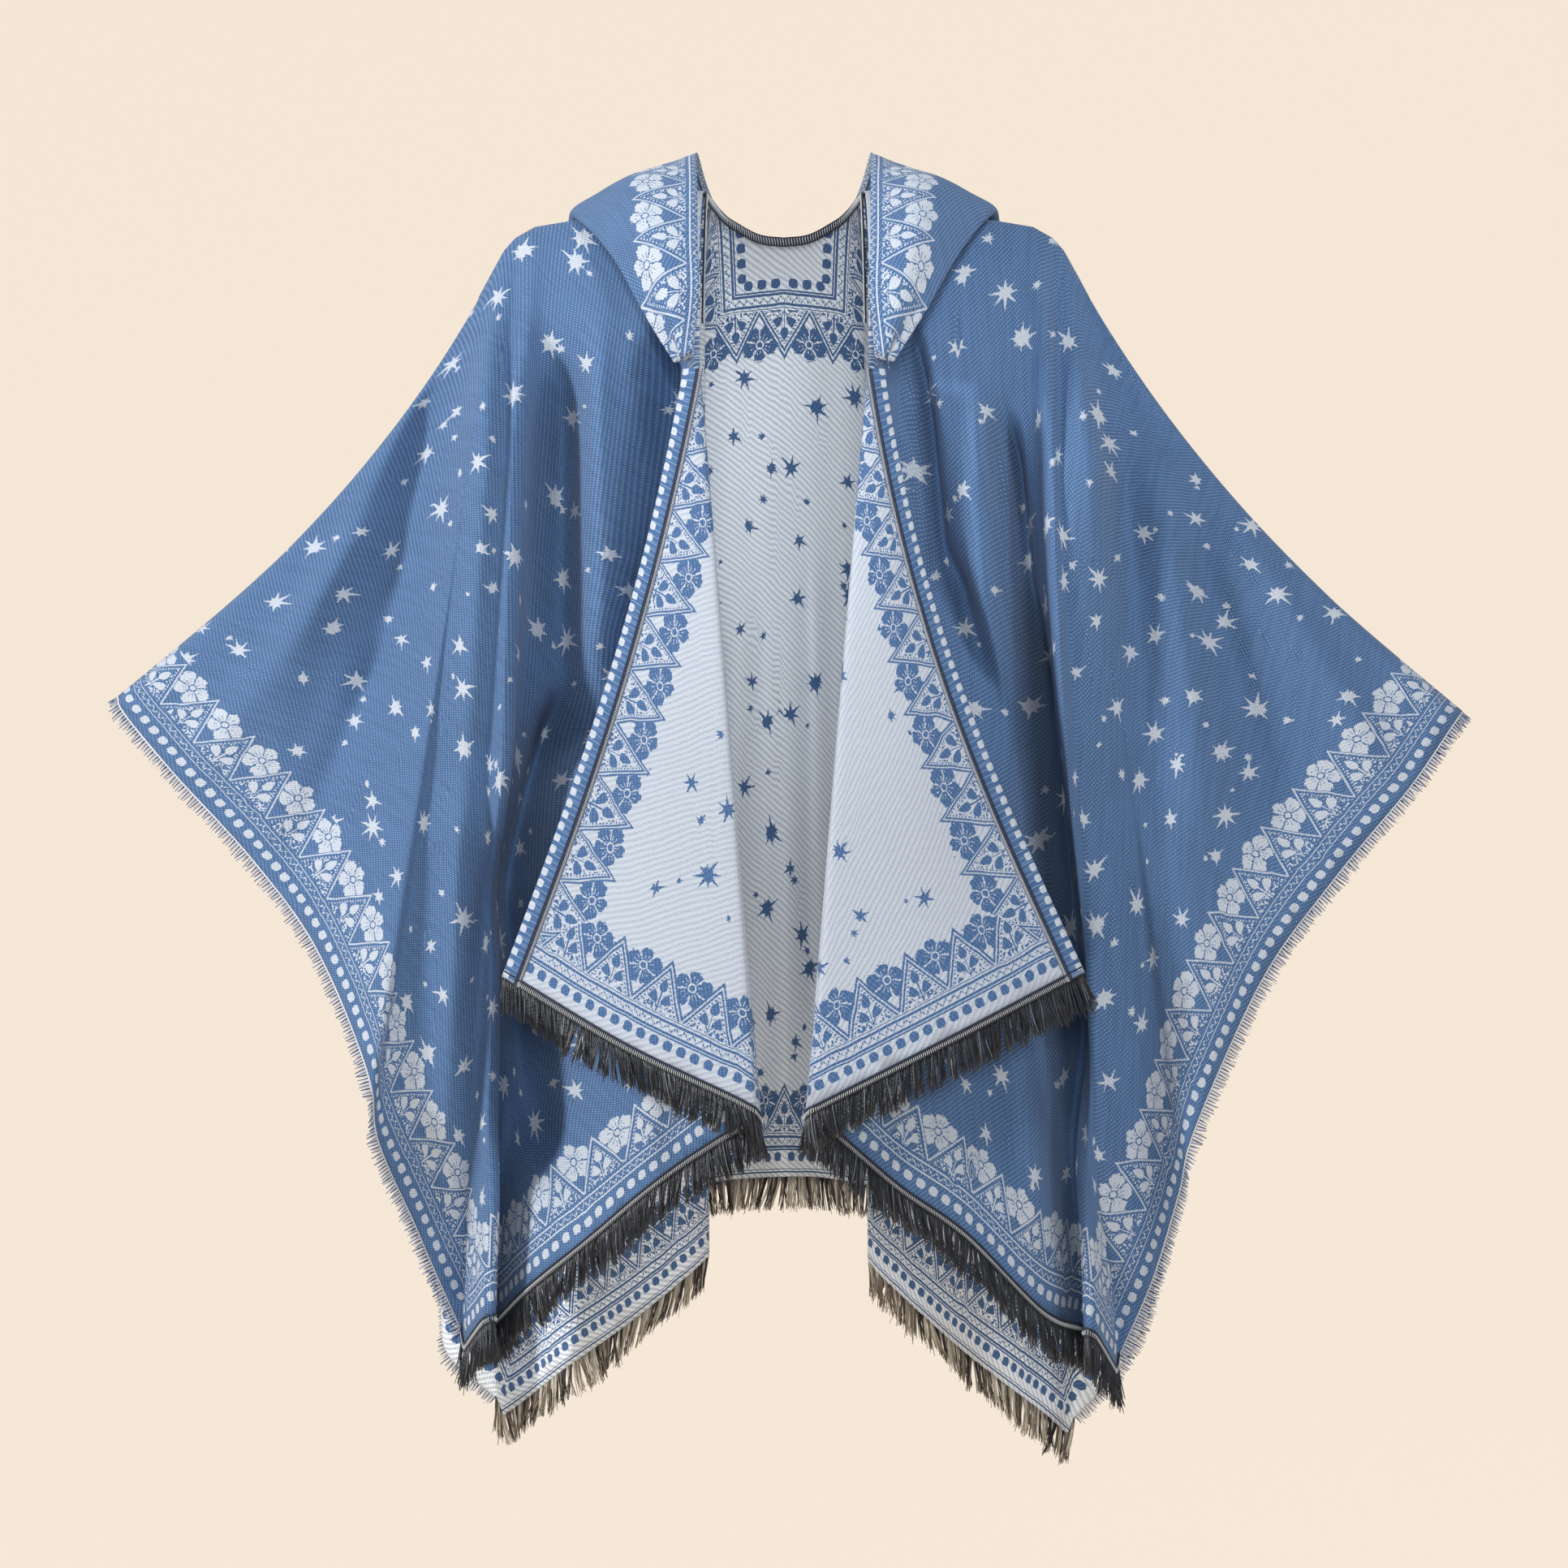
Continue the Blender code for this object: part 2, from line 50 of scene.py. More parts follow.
VIEW_HEIGHT = -0.4254
VIEW_WIDTH = 1.140
lens = bpy.data.cameras.new("front_view")
lens.sensor_width = 36
lens.lens = 36 * VIEW_DISTANCE / VIEW_WIDTH
camera = bpy.data.objects.new("front_view", lens)
camera.location = (0, -VIEW_DISTANCE, VIEW_HEIGHT)
camera.rotation_euler = (math.pi / 2, 0, 0)
bpy.context.collection.objects.link(camera)
bpy.context.scene.camera = camera

# Body
# One woven rectangle with a slit up its front, blue outside and pale inside. It hangs from the
# shoulders in straight ribs, and the slit's edges fold outward as lapels.
MM = 0.001
CLOTH = 1.4 * MM
HALF_WIDTH = 0.65
FRONT_LENGTH = 0.68
BACK_LENGTH = 0.75
SLIT_TOP = 0.453
SELVAGE_FRINGE = 0.0095
TURNED_UNDER = 0.0150
# The cloth's columns are this far apart along its edge, and where it is smooth its faces are merged.
SPACING = 3.6 * MM
MOST_FACES = 47500
# The part of a rib, from its top, that lies round the shoulder.
ROUND = 0.2
SHOULDER = np.array((
    (58, 1), (98, -7), (139, -14), (181, -21), (195, -29), (203, -38), (213, -56), (221, -71),
))
WING_SAG = 34
NECK_SIDE = np.array((58, 0, 1))
HOOD_FOOT = np.array((60, -88, -131))
LAPEL_BOW = {"left": 12, "right": 20}
LAPEL_SWAY = 2.5
LAPEL_RIPPLE = 1.2
FOLD_END = {"left": np.array((16, -160, -659)), "right": np.array((15, -160, -656))}

# Ribs of a front panel: end x, y, z on the hem or the selvage, start x on the shoulder, belly, sag.
FRONT = {
    "left": (
        (83, -130, -700, 75, 62, 0), (134, -112, -744, 100, 52, 0), (178, -86, -782, 134, 50, 0),
        (207, -34, -814, 162, 44, 0), (214, -38, -816, 170, 42, 0), (204, -88, -804, 181, 38, 0),
        (211, -91, -806, 187, 34, 0), (231, -46, -835, 192, 28, 0), (262, -62, -759, 196, 24, 0),
        (288, -86, -689, 199.5, 21, 0), (294, -98, -640, 203, 18, 0), (335, -64, -553, 206.5, 17, 6),
        (384, -40, -489, 210, 16, 14), (444, -26, -425, 211.5, 14, 25), (483, -12, -380, 214.5, 12, 32),
        (490, 0, -367, 221, 0, WING_SAG),
    ),
    "right": (
        (76, -130, -705, 75, 62, 0), (127, -112, -743, 100, 52, 0), (182, -86, -800, 134, 50, 0),
        (213, -36, -818, 162, 44, 0), (220, -40, -820, 170, 42, 0), (212, -88, -814, 181, 38, 0),
        (219, -91, -816, 187, 34, 0), (240, -48, -853, 192, 28, 0), (265, -60, -792, 196, 24, 0),
        (281, -85, -729, 199.5, 21, 0), (292, -98, -678, 203, 18, 0), (343, -64, -575, 206.5, 17, 6),
        (398, -40, -503, 210, 16, 14), (455, -27, -436, 211, 17, 25), (490, -14, -388, 214, 17, 31),
        (499, 0, -378, 221, 0, WING_SAG),
    ),
}
FRONT_CORNER = 9

# Ribs of a lapel, from the slit's edge toward the fold: their tops, alike on both sides, and ends.
LAPEL_TOPS = ((70, -96.5, -134), (66.5, -98, -134), (62, -97, -133.5), (59.6, -93.5, -133))
LAPEL_ENDS = {
    "left": ((196, -118, -560), (110, -152, -608), (30, -170, -645), (18.5, -168.5, -654)),
    "right": ((209, -118, -557), (120, -152, -601), (30, -170, -645), (17.5, -168.5, -652)),
}

# Ribs of half of the back panel, which start alike on both sides: start x, y, z, belly, sag. Those
# with y 0 start on the shoulder line. Rows 2 to 6 are a pleat.
BACK_STARTS = (
    (0, 62, -24, 28, 0), (19, 59, -22, 28, 0), (37, 50, -14, 30, 0), (46, 41, -9, 32, 0),
    (53, 24, -3, 42, 0), (58, 0, 1, 55, 0), (66, 0, 0, 50, 0), (96, 0, 0, 50, 0), (127, 0, 0, 46, 0),
    (165, 0, 0, 40, 0), (192, 0, 0, 30, 0), (196, 0, 0, 26, 0), (199.5, 0, 0, 23, 0), (203, 0, 0, 18, 0),
    (206.5, 0, 0, 17, 6), (210, 0, 0, 16, 16), (213.5, 0, 0, 14, 25), (217, 0, 0, 10, 32),
    (221, 0, 0, 0, WING_SAG),
)
# Where the same ribs end, on the hem or the selvage: x, y, z.
BACK_ENDS = {
    "left": (
        (0, 135, -724), (29, 152, -727), (60, 132, -729), (150, 172, -750), (160, 160, -757),
        (70, 124, -780), (62, 108, -786), (113, 92, -827), (157, 60, -855), (192, 88, -885),
        (215, 70, -899), (252, 75, -866), (261, 88, -813), (296, 95, -702), (310, 66, -609),
        (386, 40, -492), (445, 26, -424), (483, 11, -380), (490, 0, -367),
    ),
    "right": (
        (0, 135, -724), (28, 150, -726), (63, 132, -730), (152, 172, -752), (163, 160, -760),
        (77, 124, -784), (68, 108, -790), (118, 92, -836), (156, 58, -864), (197, 85, -898),
        (217, 70, -914), (248, 75, -882), (273, 88, -835), (295, 95, -720), (322, 66, -627),
        (388, 40, -523), (455, 26, -437), (491, 11, -387), (499, 0, -378),
    ),
}
BACK_NECK_SIDE = 5
BACK_CORNER = 10

# Creases, as lines on the garment seen from the front: x, z, x, z, half width, height and lean. A
# ridge has a height above 0 and a trough one below it. With a lean above 0, a trough's bottom lies
# farther out and a ridge's top farther in, so that the ridge hangs over the trough beside it, and
# with one below 0 it is the other way round.
FRONT_CREASES = {
    "left": (
        (204, -60, 221, -440, 21, 40, 0), (222, -430, 250, -690, 32, 30, 0),
        (160, -120, 156, -400, 21, -54, 0), (132, -110, 136, -400, 13, 20, 0),
        (85, -100, 112, -290, 15, -46, -0.35), (104, -270, 132, -400, 16, -36, -0.2),
        (156, -370, 188, -520, 18, -64, 0.25), (186, -520, 166, -690, 23, -66, 0.2),
        (228, -470, 232, -740, 14, 15, 0), (256, -150, 300, -360, 17, -16, 0),
        (285, -160, 372, -400, 18, 9, 0), (300, -240, 410, -400, 15, 9, 0),
        (150, -560, 160, -720, 14, -9, 0), (88, -560, 96, -700, 13, 8, 0),
        (290, -330, 350, -480, 14, -8, 0),
    ),
    "right": (
        (84, -100, 100, -290, 14, -46, 0.35), (112, -270, 152, -400, 14, -32, 0.3),
        (134, -140, 146, -380, 14, 15, 0), (155, -170, 168, -345, 13, -46, 0.3),
        (168, -320, 204, -640, 18, -76, 0.3), (205, -170, 232, -740, 22, 32, 0.25),
        (197, -60, 226, -230, 12, 16, 0), (222, -200, 238, -420, 14, 9, 0),
        (243, -190, 256, -440, 17, -14, 0), (272, -210, 300, -460, 18, 12, 0),
        (300, -260, 352, -440, 15, -9, 0), (330, -240, 430, -410, 15, 9, 0),
        (222, -560, 236, -760, 12, 15, 0.3), (204, -600, 214, -790, 12, -14, 0.2),
        (256, -420, 276, -640, 13, -10, 0), (168, -600, 176, -740, 13, 9, 0),
        (140, -600, 146, -720, 13, -8, 0), (88, -560, 98, -700, 13, 8, 0),
    ),
}
BACK_CREASES = {
    "left": (
        (214, -70, 246, -460, 15, 14, 0), (186, -80, 200, -420, 16, -13, 0),
        (160, -130, 168, -520, 13, 11, 0), (132, -170, 146, -560, 14, -11, 0),
        (240, -120, 330, -440, 18, -9, 0), (262, -130, 372, -400, 16, 9, 0),
        (60, -300, 66, -600, 13, 10, 0), (28, -280, 34, -640, 14, -10, 0),
        (100, -330, 112, -640, 13, 9, 0), (226, -360, 240, -680, 12, -10, 0),
        (300, -230, 420, -400, 14, -6, 0),
    ),
    "right": (
        (208, -60, 238, -430, 14, 14, 0), (182, -90, 192, -460, 15, -13, 0),
        (152, -120, 166, -500, 14, 12, 0), (128, -190, 138, -600, 13, -10, 0),
        (236, -110, 320, -420, 18, -9, 0), (258, -150, 380, -420, 16, 9, 0),
        (52, -330, 58, -620, 12, 9, 0), (20, -260, 22, -600, 13, 9, 0),
        (92, -300, 100, -620, 13, -10, 0), (216, -400, 236, -700, 12, -10, 0),
        (310, -240, 430, -410, 14, 8, 0),
    ),
}
# A faint ripple lies over all of the cloth. It and the creases grow to their full height over
# these lengths of a panel's edge, from its inner side and from its outer one.
RIPPLE = 1.1
CREASE_FADE_IN = 32
CREASE_FADE_OUT = 90


def through(knots, at, breaks=()):
    """A smooth curve through the knots, read at places counted in knots, with corners at breaks."""
    knots = np.asarray(knots, float)
    last = len(knots) - 1
    at = np.asarray(at, float)
    k = np.minimum(at.astype(int), last - 1)
    shape = (-1,) + (1,) * (knots.ndim - 1)
    w = (at - k).reshape(shape)
    here, after = knots[k], knots[k + 1]
    before, beyond = knots[np.maximum(k - 1, 0)], knots[np.minimum(k + 2, last)]
    starts = ((k == 0) | np.isin(k, breaks)).reshape(shape)
    ends = ((k + 1 == last) | np.isin(k + 1, breaks)).reshape(shape)
    leave = np.where(starts, after - here, (after - before) / 2)
    arrive = np.where(ends, after - here, (beyond - here) / 2)
    w2, w3 = w * w, w * w * w
    from_here = (2 * w3 - 3 * w2 + 1) * here + (w3 - 2 * w2 + w) * leave
    return from_here + (3 * w2 - 2 * w3) * after + (w3 - w2) * arrive


def eased(w):
    """Smooth from 0 to 1."""
    w = np.clip(w, 0, 1)
    return w * w * (3 - 2 * w)


def run_of(line):
    """How far each point of a line is from its start, along the line."""
    return np.concatenate(([0], np.cumsum(np.linalg.norm(np.diff(line, axis=0), axis=1))))


def read_at(places, run, line):
    """The points of a line at places that are counted along its run."""
    return np.stack([np.interp(places, run, values) for values in line.T], axis=1)


# Fractions of a rib's length at which the cloth has a row of points, closest on the shoulder. The
# hood's foot and the lapel's top are at the row where the shoulder's round ends.
ROUND_ROWS = (0, 0.0015, 0.004, 0.008, 0.014, 0.022, 0.032, 0.045, 0.06, 0.078, 0.1, 0.125, 0.15, 0.175)
ALONG = np.concatenate((ROUND_ROWS, np.linspace(ROUND, 1, 80)))
FOOT_ROW = len(ROUND_ROWS)


def rounded(along):
    """How much of its belly a rib has: an elliptic round of the shoulder, then a slow return."""
    rise = np.sqrt(1 - (1 - np.minimum(along / ROUND, 1)) ** 2)
    return rise * (1 - eased((along - ROUND) / (1 - ROUND)))


def rib(start, end, belly, sag, side_y):
    """Points along one rib, from the shoulder line to its end on the hem or the selvage."""
    points = start + (end - start) * ALONG[:, None]
    points[:, 1] += side_y * belly * rounded(ALONG)
    points[:, 2] -= sag * np.sin(math.pi * ALONG ** 0.7)
    return points


def on_shoulder(x):
    """The point of the shoulder line at x."""
    return np.array((x, 0, np.interp(x, SHOULDER[:, 0], SHOULDER[:, 1])))


def filled(ribs, places, corner):
    """Fills in ribs between those of the table. Their ends turn a corner at the hem's end."""
    smooth = through(ribs, places)
    cornered = through(ribs, places, (corner,))
    return smooth + (cornered - smooth) * eased((ALONG - 0.55) / 0.45)[None, :, None]


def places_by_spacing(ends):
    """Places across the ribs, so that the cloth's columns are evenly spaced along its edge."""
    steps = [max(2, round(np.linalg.norm(b - a) * MM / SPACING)) for a, b in zip(ends, ends[1:])]
    return np.array([k + n / s for k, s in enumerate(steps) for n in range(s)] + [len(steps)])


def straight_cut(grid, top_u, top_v, first_u, corner_column):
    """Where each point of a panel lies in the flat cloth: across from the centre, up from the hem.

    The hem's and the selvage's own lengths say where each rib ends.
    """
    run = run_of(grid[:, -1])
    at_corner = run[corner_column]
    end_u = first_u + run * (HALF_WIDTH - first_u) / at_corner
    end_u = np.minimum(end_u, HALF_WIDTH)
    end_v = np.maximum(run - at_corner, 0)
    return np.stack((
        top_u[:, None] + (end_u - top_u)[:, None] * ALONG,
        top_v[:, None] + (end_v - top_v)[:, None] * ALONG,
    ), axis=2)


def creased(grid, creases, side_y):
    """Lays soft ridges and troughs over a panel. They fade out at their ends and at its edges."""
    x, z = grid[:, :, 0], grid[:, :, 2]
    lift, shift = np.zeros_like(x), np.zeros_like(x)
    for x0, z0, x1, z1, width, height, lean in creases:
        length = math.hypot(x1 - x0, z1 - z0)
        along = ((x - x0) * (x1 - x0) + (z - z0) * (z1 - z0)) / length ** 2
        outward = ((z - z0) * (x1 - x0) - (x - x0) * (z1 - z0)) / length
        spread = width * (0.75 + 0.5 * np.clip(along, 0, 1))
        fade = eased((along + 0.15) / 0.3) * eased((1.2 - along) / 0.4)
        shape = height * fade * np.exp(-(outward / spread) ** 2)
        lift += shape
        shift -= lean * shape
    wave = np.sin(x / 23 + 1.3 * np.sin(z / 97)) * np.sin(z / 151 + x / 60 + 1)
    lift += RIPPLE * wave
    inland = np.arange(len(grid)) * SPACING / MM
    fade = eased(inland / CREASE_FADE_IN) * eased((inland[-1] - inland) / CREASE_FADE_OUT)
    fade = fade[:, None] * eased((ALONG - 0.03) / ROUND)[None, :]
    grid[:, :, 0] += shift * fade
    grid[:, :, 1] += side_y * lift * fade
    return grid


def front_panel(side):
    """One front panel from the neckline and the lapel's fold out to the wing's upper fold."""
    scoop = np.minimum(ALONG / ROUND, 1)
    first = NECK_SIDE + (HOOD_FOOT - NECK_SIDE) * scoop[:, None]
    first[:, 1] = HOOD_FOOT[1] * np.sqrt(1 - (1 - scoop) ** 2)
    fall = np.maximum(ALONG - ROUND, 0) / (1 - ROUND)
    first += (FOLD_END[side] - HOOD_FOOT) * fall[:, None]
    # The second rib lies a little behind the first, where the cloth turns round the lapel's fold.
    turn = first + np.stack((5 + 2 * ALONG, 9 * ALONG, -1 - 0 * ALONG), axis=1)
    ribs = [first, turn]
    for x, y, z, start_x, belly, sag in FRONT[side]:
        ribs.append(rib(on_shoulder(start_x), np.array((x, y, z)), belly, sag, -1))
    ribs = np.array(ribs, float)
    places = places_by_spacing(ribs[:, -1])
    grid = filled(ribs, places, FRONT_CORNER)
    grid[:, 0] = [on_shoulder(x) for x in grid[:, 0, 0]]
    grid[-1, :, 1] = 0
    corner = int(np.flatnonzero(places == FRONT_CORNER)[0])
    return creased(grid, FRONT_CREASES[side], -1), places, corner


def lapel_panel(side, fold):
    """The slit's edge turned outward, from its free edge to the fold that it shares with the front."""
    tops = np.vstack((LAPEL_TOPS, fold[0]))
    ends = np.vstack((LAPEL_ENDS[side], fold[-1]))
    places = np.concatenate((np.linspace(0, 1, 25), np.linspace(1, 2, 21)[1:], np.linspace(2, 4, 13)[1:]))
    fall = (np.linalg.norm(fold - fold[0], axis=1) / np.linalg.norm(fold[-1] - fold[0]))[None, :, None]
    top_line, end_line = through(tops, places)[:, None], through(ends, places)[:, None]
    grid = top_line + (end_line - top_line) * fall
    from_fold = np.linalg.norm(end_line[:, 0] - end_line[-1, 0], axis=1)[:, None]
    free = from_fold / from_fold[0]
    grid[:, :, 0] -= LAPEL_BOW[side] * free * np.sin(math.pi * fall[:, :, 0] ** 0.9)
    down = fall[:, :, 0]
    slow = np.sin(down * 8 + places[:, None] * 1.4) * LAPEL_SWAY
    quick = np.sin(down * 17 + 1) * LAPEL_RIPPLE
    grid[:, :, 1] += (slow + quick) * free * np.sin(down * math.pi / 2) * eased(down * 5)
    return grid


def back_panel(side, front_tops):
    """Half of the back panel. Its columns meet the front's on the shoulder line."""
    ribs = []
    for (x, y, z, belly, sag), end in zip(BACK_STARTS, BACK_ENDS[side]):
        start = np.array((x, y, z)) if y > 0 else on_shoulder(x)
        ribs.append(rib(start, np.array(end), belly, sag, 1))
    ribs = np.array(ribs, float)
    behind = places_by_spacing(ribs[:BACK_NECK_SIDE + 1, -1])
    tops = ribs[:, 0]
    fine = np.linspace(BACK_NECK_SIDE, len(ribs) - 1, 2000)
    beside = np.interp(front_tops, through(tops, fine, (BACK_NECK_SIDE,))[:, 0], fine)
    corner = np.argmin(np.abs(beside - BACK_CORNER))
    beside[0], beside[corner], beside[-1] = BACK_NECK_SIDE, BACK_CORNER, len(ribs) - 1
    places = np.concatenate((behind[:-1], beside))
    grid = filled(ribs, places, BACK_CORNER)
    grid[:, 0] = through(tops, places, (BACK_NECK_SIDE,))
    on_line = places >= BACK_NECK_SIDE
    grid[on_line, 0] = [on_shoulder(x) for x in front_tops]
    grid[-1, :, 1] = 0
    return creased(grid, BACK_CREASES[side], 1), places, len(behind) - 1 + int(corner)


def trimmed(grid, cut):
    """Ends the cloth where the selvage's short fringe begins, and gives where it ended before."""
    edge = grid[:, -1].copy()
    top_u, end_u = cut[:, 0, 0], cut[:, -1, 0]
    keep = np.clip((HALF_WIDTH - SELVAGE_FRINGE - top_u) / np.maximum(end_u - top_u, 1e-6), 0.5, 1)
    out, out_cut = grid.copy(), cut.copy()
    for c in np.flatnonzero(keep < 1):
        out[c] = read_at(ALONG * keep[c], ALONG, grid[c])
        out_cut[c] = read_at(ALONG * keep[c], ALONG, cut[c])
    return out, out_cut, edge


class Reading:
    """A value that changes over the cloth, inside a node tree, for writing a pattern as plain sums."""

    def __init__(self, tree, socket):
        self.tree = tree
        self.socket = socket

    def math(self, kind, *others):
        node = self.tree.nodes.new("ShaderNodeMath")
        node.operation = kind
        for socket, value in zip(node.inputs, (self, *others)):
            if isinstance(value, Reading):
                self.tree.links.new(value.socket, socket)
            else:
                socket.default_value = value
        return Reading(self.tree, node.outputs[0])

    __add__ = partialmethod(math, "ADD")
    __sub__ = partialmethod(math, "SUBTRACT")
    __mul__ = partialmethod(math, "MULTIPLY")
    __truediv__ = partialmethod(math, "DIVIDE")
    __pow__ = partialmethod(math, "POWER")
    __lt__ = partialmethod(math, "LESS_THAN")
    __gt__ = partialmethod(math, "GREATER_THAN")
    __abs__ = partialmethod(math, "ABSOLUTE")
    fraction = partialmethod(math, "FRACT")
    near = partialmethod(math, "COMPARE")
    smaller = partialmethod(math, "MINIMUM")
    larger = partialmethod(math, "MAXIMUM")

    def without(self):
        return (self * -1) + 1

    def between(self, low, high):
        """Rises smoothly from 0 to 1 as the value goes from low to high."""
        node = self.tree.nodes.new("ShaderNodeMapRange")
        node.interpolation_type = "SMOOTHSTEP"
        self.tree.links.new(self.socket, node.inputs["Value"])
        node.inputs["From Min"].default_value = low
        node.inputs["From Max"].default_value = high
        return Reading(self.tree, node.outputs["Result"])


def vector_of(tree, x, y, z=0.0):
    """A vector from two or three readings."""
    node = tree.nodes.new("ShaderNodeCombineXYZ")
    for socket, value in zip(node.inputs, (x, y, z)):
        if isinstance(value, Reading):
            tree.links.new(value.socket, socket)
        else:
            socket.default_value = value
    return node.outputs[0]


def parts_of(tree, vector):
    """The x and y of a vector, as readings."""
    node = tree.nodes.new("ShaderNodeSeparateXYZ")
    tree.links.new(vector, node.inputs[0])
    return Reading(tree, node.outputs[0]), Reading(tree, node.outputs[1])


def random_in(tree, x, y):
    """One random number for each whole step of x and y."""
    node = tree.nodes.new("ShaderNodeTexWhiteNoise")
    node.noise_dimensions = "2D"
    tree.links.new(vector_of(tree, x.math("FLOOR"), y.math("FLOOR")), node.inputs["Vector"])
    return Reading(tree, node.outputs["Value"])


def speckle(tree, x, y, size):
    """One random number for each small square of the weave."""
    return random_in(tree, x / size, y / size)


def new_group(name, taken, given):
    """An empty shader node group: vectors and numbers go in, and numbers come out."""
    group = bpy.data.node_groups.new(name, "ShaderNodeTree")
    for socket, kind in taken:
        group.interface.new_socket(socket, in_out="INPUT", socket_type=kind)
    for socket in given:
        group.interface.new_socket(socket, in_out="OUTPUT", socket_type="NodeSocketFloat")
    return group, group.nodes.new("NodeGroupInput"), group.nodes.new("NodeGroupOutput")


def stars_in(tree, x, y, spacing, least, most, share, shift):
    """Stars of six to eight thin rays of uneven length, one to a cell of a scattered layout."""
    cells = tree.nodes.new("ShaderNodeTexVoronoi")
    cells.voronoi_dimensions = "2D"
    cells.feature = "F1"
    cells.inputs["Scale"].default_value = 1
    cells.inputs["Randomness"].default_value = 0.82
    x, y = x / spacing + shift, y / spacing + shift * 1.7
    tree.links.new(vector_of(tree, x, y), cells.inputs["Vector"])
    middle_x, middle_y = parts_of(tree, cells.outputs["Position"])
    across, up = (x - middle_x) * spacing, (y - middle_y) * spacing
    chance = tree.nodes.new("ShaderNodeSeparateColor")
    tree.links.new(cells.outputs["Color"], chance.inputs[0])
    one, two, three = (Reading(tree, chance.outputs[n]) for n in range(3))
    rays = (three * 2.6).math("FLOOR") + 6
    turn = (up.math("ARCTAN2", across) / (2 * math.pi) + two + 1).fraction() * rays
    size = three * (most - least) + least
    tip = size * (random_in(tree, turn, two * 97) * 0.6 + 0.55)
    away = (across * across + up * up).math("SQRT")
    off_ray = away * abs(turn.fraction() - 0.5) * (2 * math.pi) / rays
    ray = off_ray < (away / tip).without() * (size * 0.07 + 1.15)
    middle = away < size * (speckle(tree, across, up, 1.3) * 0.22 + one * 0.16 + 0.17)
    return ray.larger(middle) * (one < share)


# The pattern that is woven in: a border along every edge, with mitred corners, and stars between.
# Blue and pale yarns change places from one face to the other, so both faces read one pattern.
# All sizes here are in millimetres of the flat cloth, and heights are counted in from an edge.
REPEAT = 39.4
STEP_OF_WEAVE = 0.62
HEM_MARGIN = 2.5
SIDE_MARGIN = 7.5
figures, taken, given = new_group(
    "woven_figures",
    (("Cut", "NodeSocketVector"), ("Opening", "NodeSocketVector"), ("Doubled", "NodeSocketFloat")),
    ("Figure",),
)
across_cut, up_cut = parts_of(figures, taken.outputs["Cut"])
open_x, open_y = parts_of(figures, taken.outputs["Opening"])
doubled = Reading(figures, taken.outputs["Doubled"])
signed = (across_cut * 1000).math("SNAP", STEP_OF_WEAVE)
up = (up_cut * 1000).math("SNAP", STEP_OF_WEAVE)
across = abs(signed)
open_x, open_y = (open_x * 1000).math("SNAP", STEP_OF_WEAVE), (open_y * 1000).math("SNAP", STEP_OF_WEAVE)
behind = open_y > -500
to_hem = up - HEM_MARGIN
to_side = (across * -1) + (HALF_WIDTH * 1000 - SIDE_MARGIN)
to_opening = open_x.larger(open_y)
inward = to_hem.smaller(to_side).smaller(to_opening)
on_hem = (to_hem - inward) < 0.01
over_opening = ((to_opening - inward) < 0.01) * (open_y > open_x)
level = on_hem.larger(over_opening)
along = level * (across + REPEAT / 2) + level.without() * up

# Dots, and two lines with a dotted zigzag between them.
DOT_PITCH, DOT_MIDDLE, DOT_RADIUS, DOTS_TOP = 10.6, 12.2, 3.4, 17
LINES = (20.0, 27.4)
beside_dot = ((along / DOT_PITCH).fraction() - 0.5) * DOT_PITCH
above_dot = inward - DOT_MIDDLE
dots = ((abs(beside_dot) ** 3 + abs(above_dot) ** 3) < DOT_RADIUS ** 3) * (inward < DOTS_TOP)
bold = doubled * 0.3 + 0.5
lines = inward.near(LINES[0], bold).larger(inward.near(LINES[1], bold))
for height, half in ((1.0, 0.5), (3.0, 0.3)):
    lines = lines.larger(inward.near(height, half) * behind * on_hem)
zigzag = abs((along / 6.5).fraction() - 0.5) * 7 + 22
zigzag = (abs(inward - zigzag) < 0.8) * ((along / 1.7).fraction() < 0.62)
zigzag = zigzag.larger(doubled * (inward.near(17.4, 0.6).larger(inward.near(29.8, 0.5))))

# Triangles with a row of dots inside their sides, and a sprig of leaves.
BASE = 30.4
TALL_AT_SIDES, LOWER_ON_HEMS = 39, 6.5
tall = level * -LOWER_ON_HEMS + TALL_AT_SIDES
phase = (along / REPEAT).fraction()
beside = (phase - 0.5) * REPEAT
roof = (abs(beside) * (-2 / REPEAT) + 1) * tall + BASE
under_roof = (roof - inward) * 0.48
above_base = inward > BASE
outline = under_roof.near(0, 0.6) * doubled.without()
outline = outline.larger(under_roof.near(-1.2, 0.75).larger(under_roof.near(1.2, 0.7)) * doubled)
inner_dots = under_roof.near(3.2, 0.6) * ((inward / 2.3).fraction() < 0.5)
aside = abs(beside) - 5.6
height = inward - BASE - 9.4
leaf_long = (aside * 0.8 + height * 0.6) / 5.2
leaf_wide = (height * 0.8 - aside * 0.6) / (leaf_long * 1.2 + 3.3)
leaf = leaf_long * leaf_long + leaf_wide * leaf_wide
bud_long = (inward - BASE - 19) / 5.4
bud = bud_long * bud_long + (beside / (bud_long * -1.2 + 3.0)) ** 2
stems = (abs(beside) < 0.45) * (inward < BASE + 14)
stems = stems.larger((abs(abs(beside) - (inward - BASE - 2) * 0.7) < 0.5) * (inward < BASE + 8))
grains = speckle(figures, along, inward, 1.25) > 0.66
inside = under_roof > 4.2
free = (leaf > 1.7) * (bud > 1.9) * (abs(beside) > 1.3)
sprig = (leaf < 1).larger(bud < 1).larger(stems).larger(grains * free)
triangle = outline.larger(inner_dots).larger(inside * sprig) * above_base

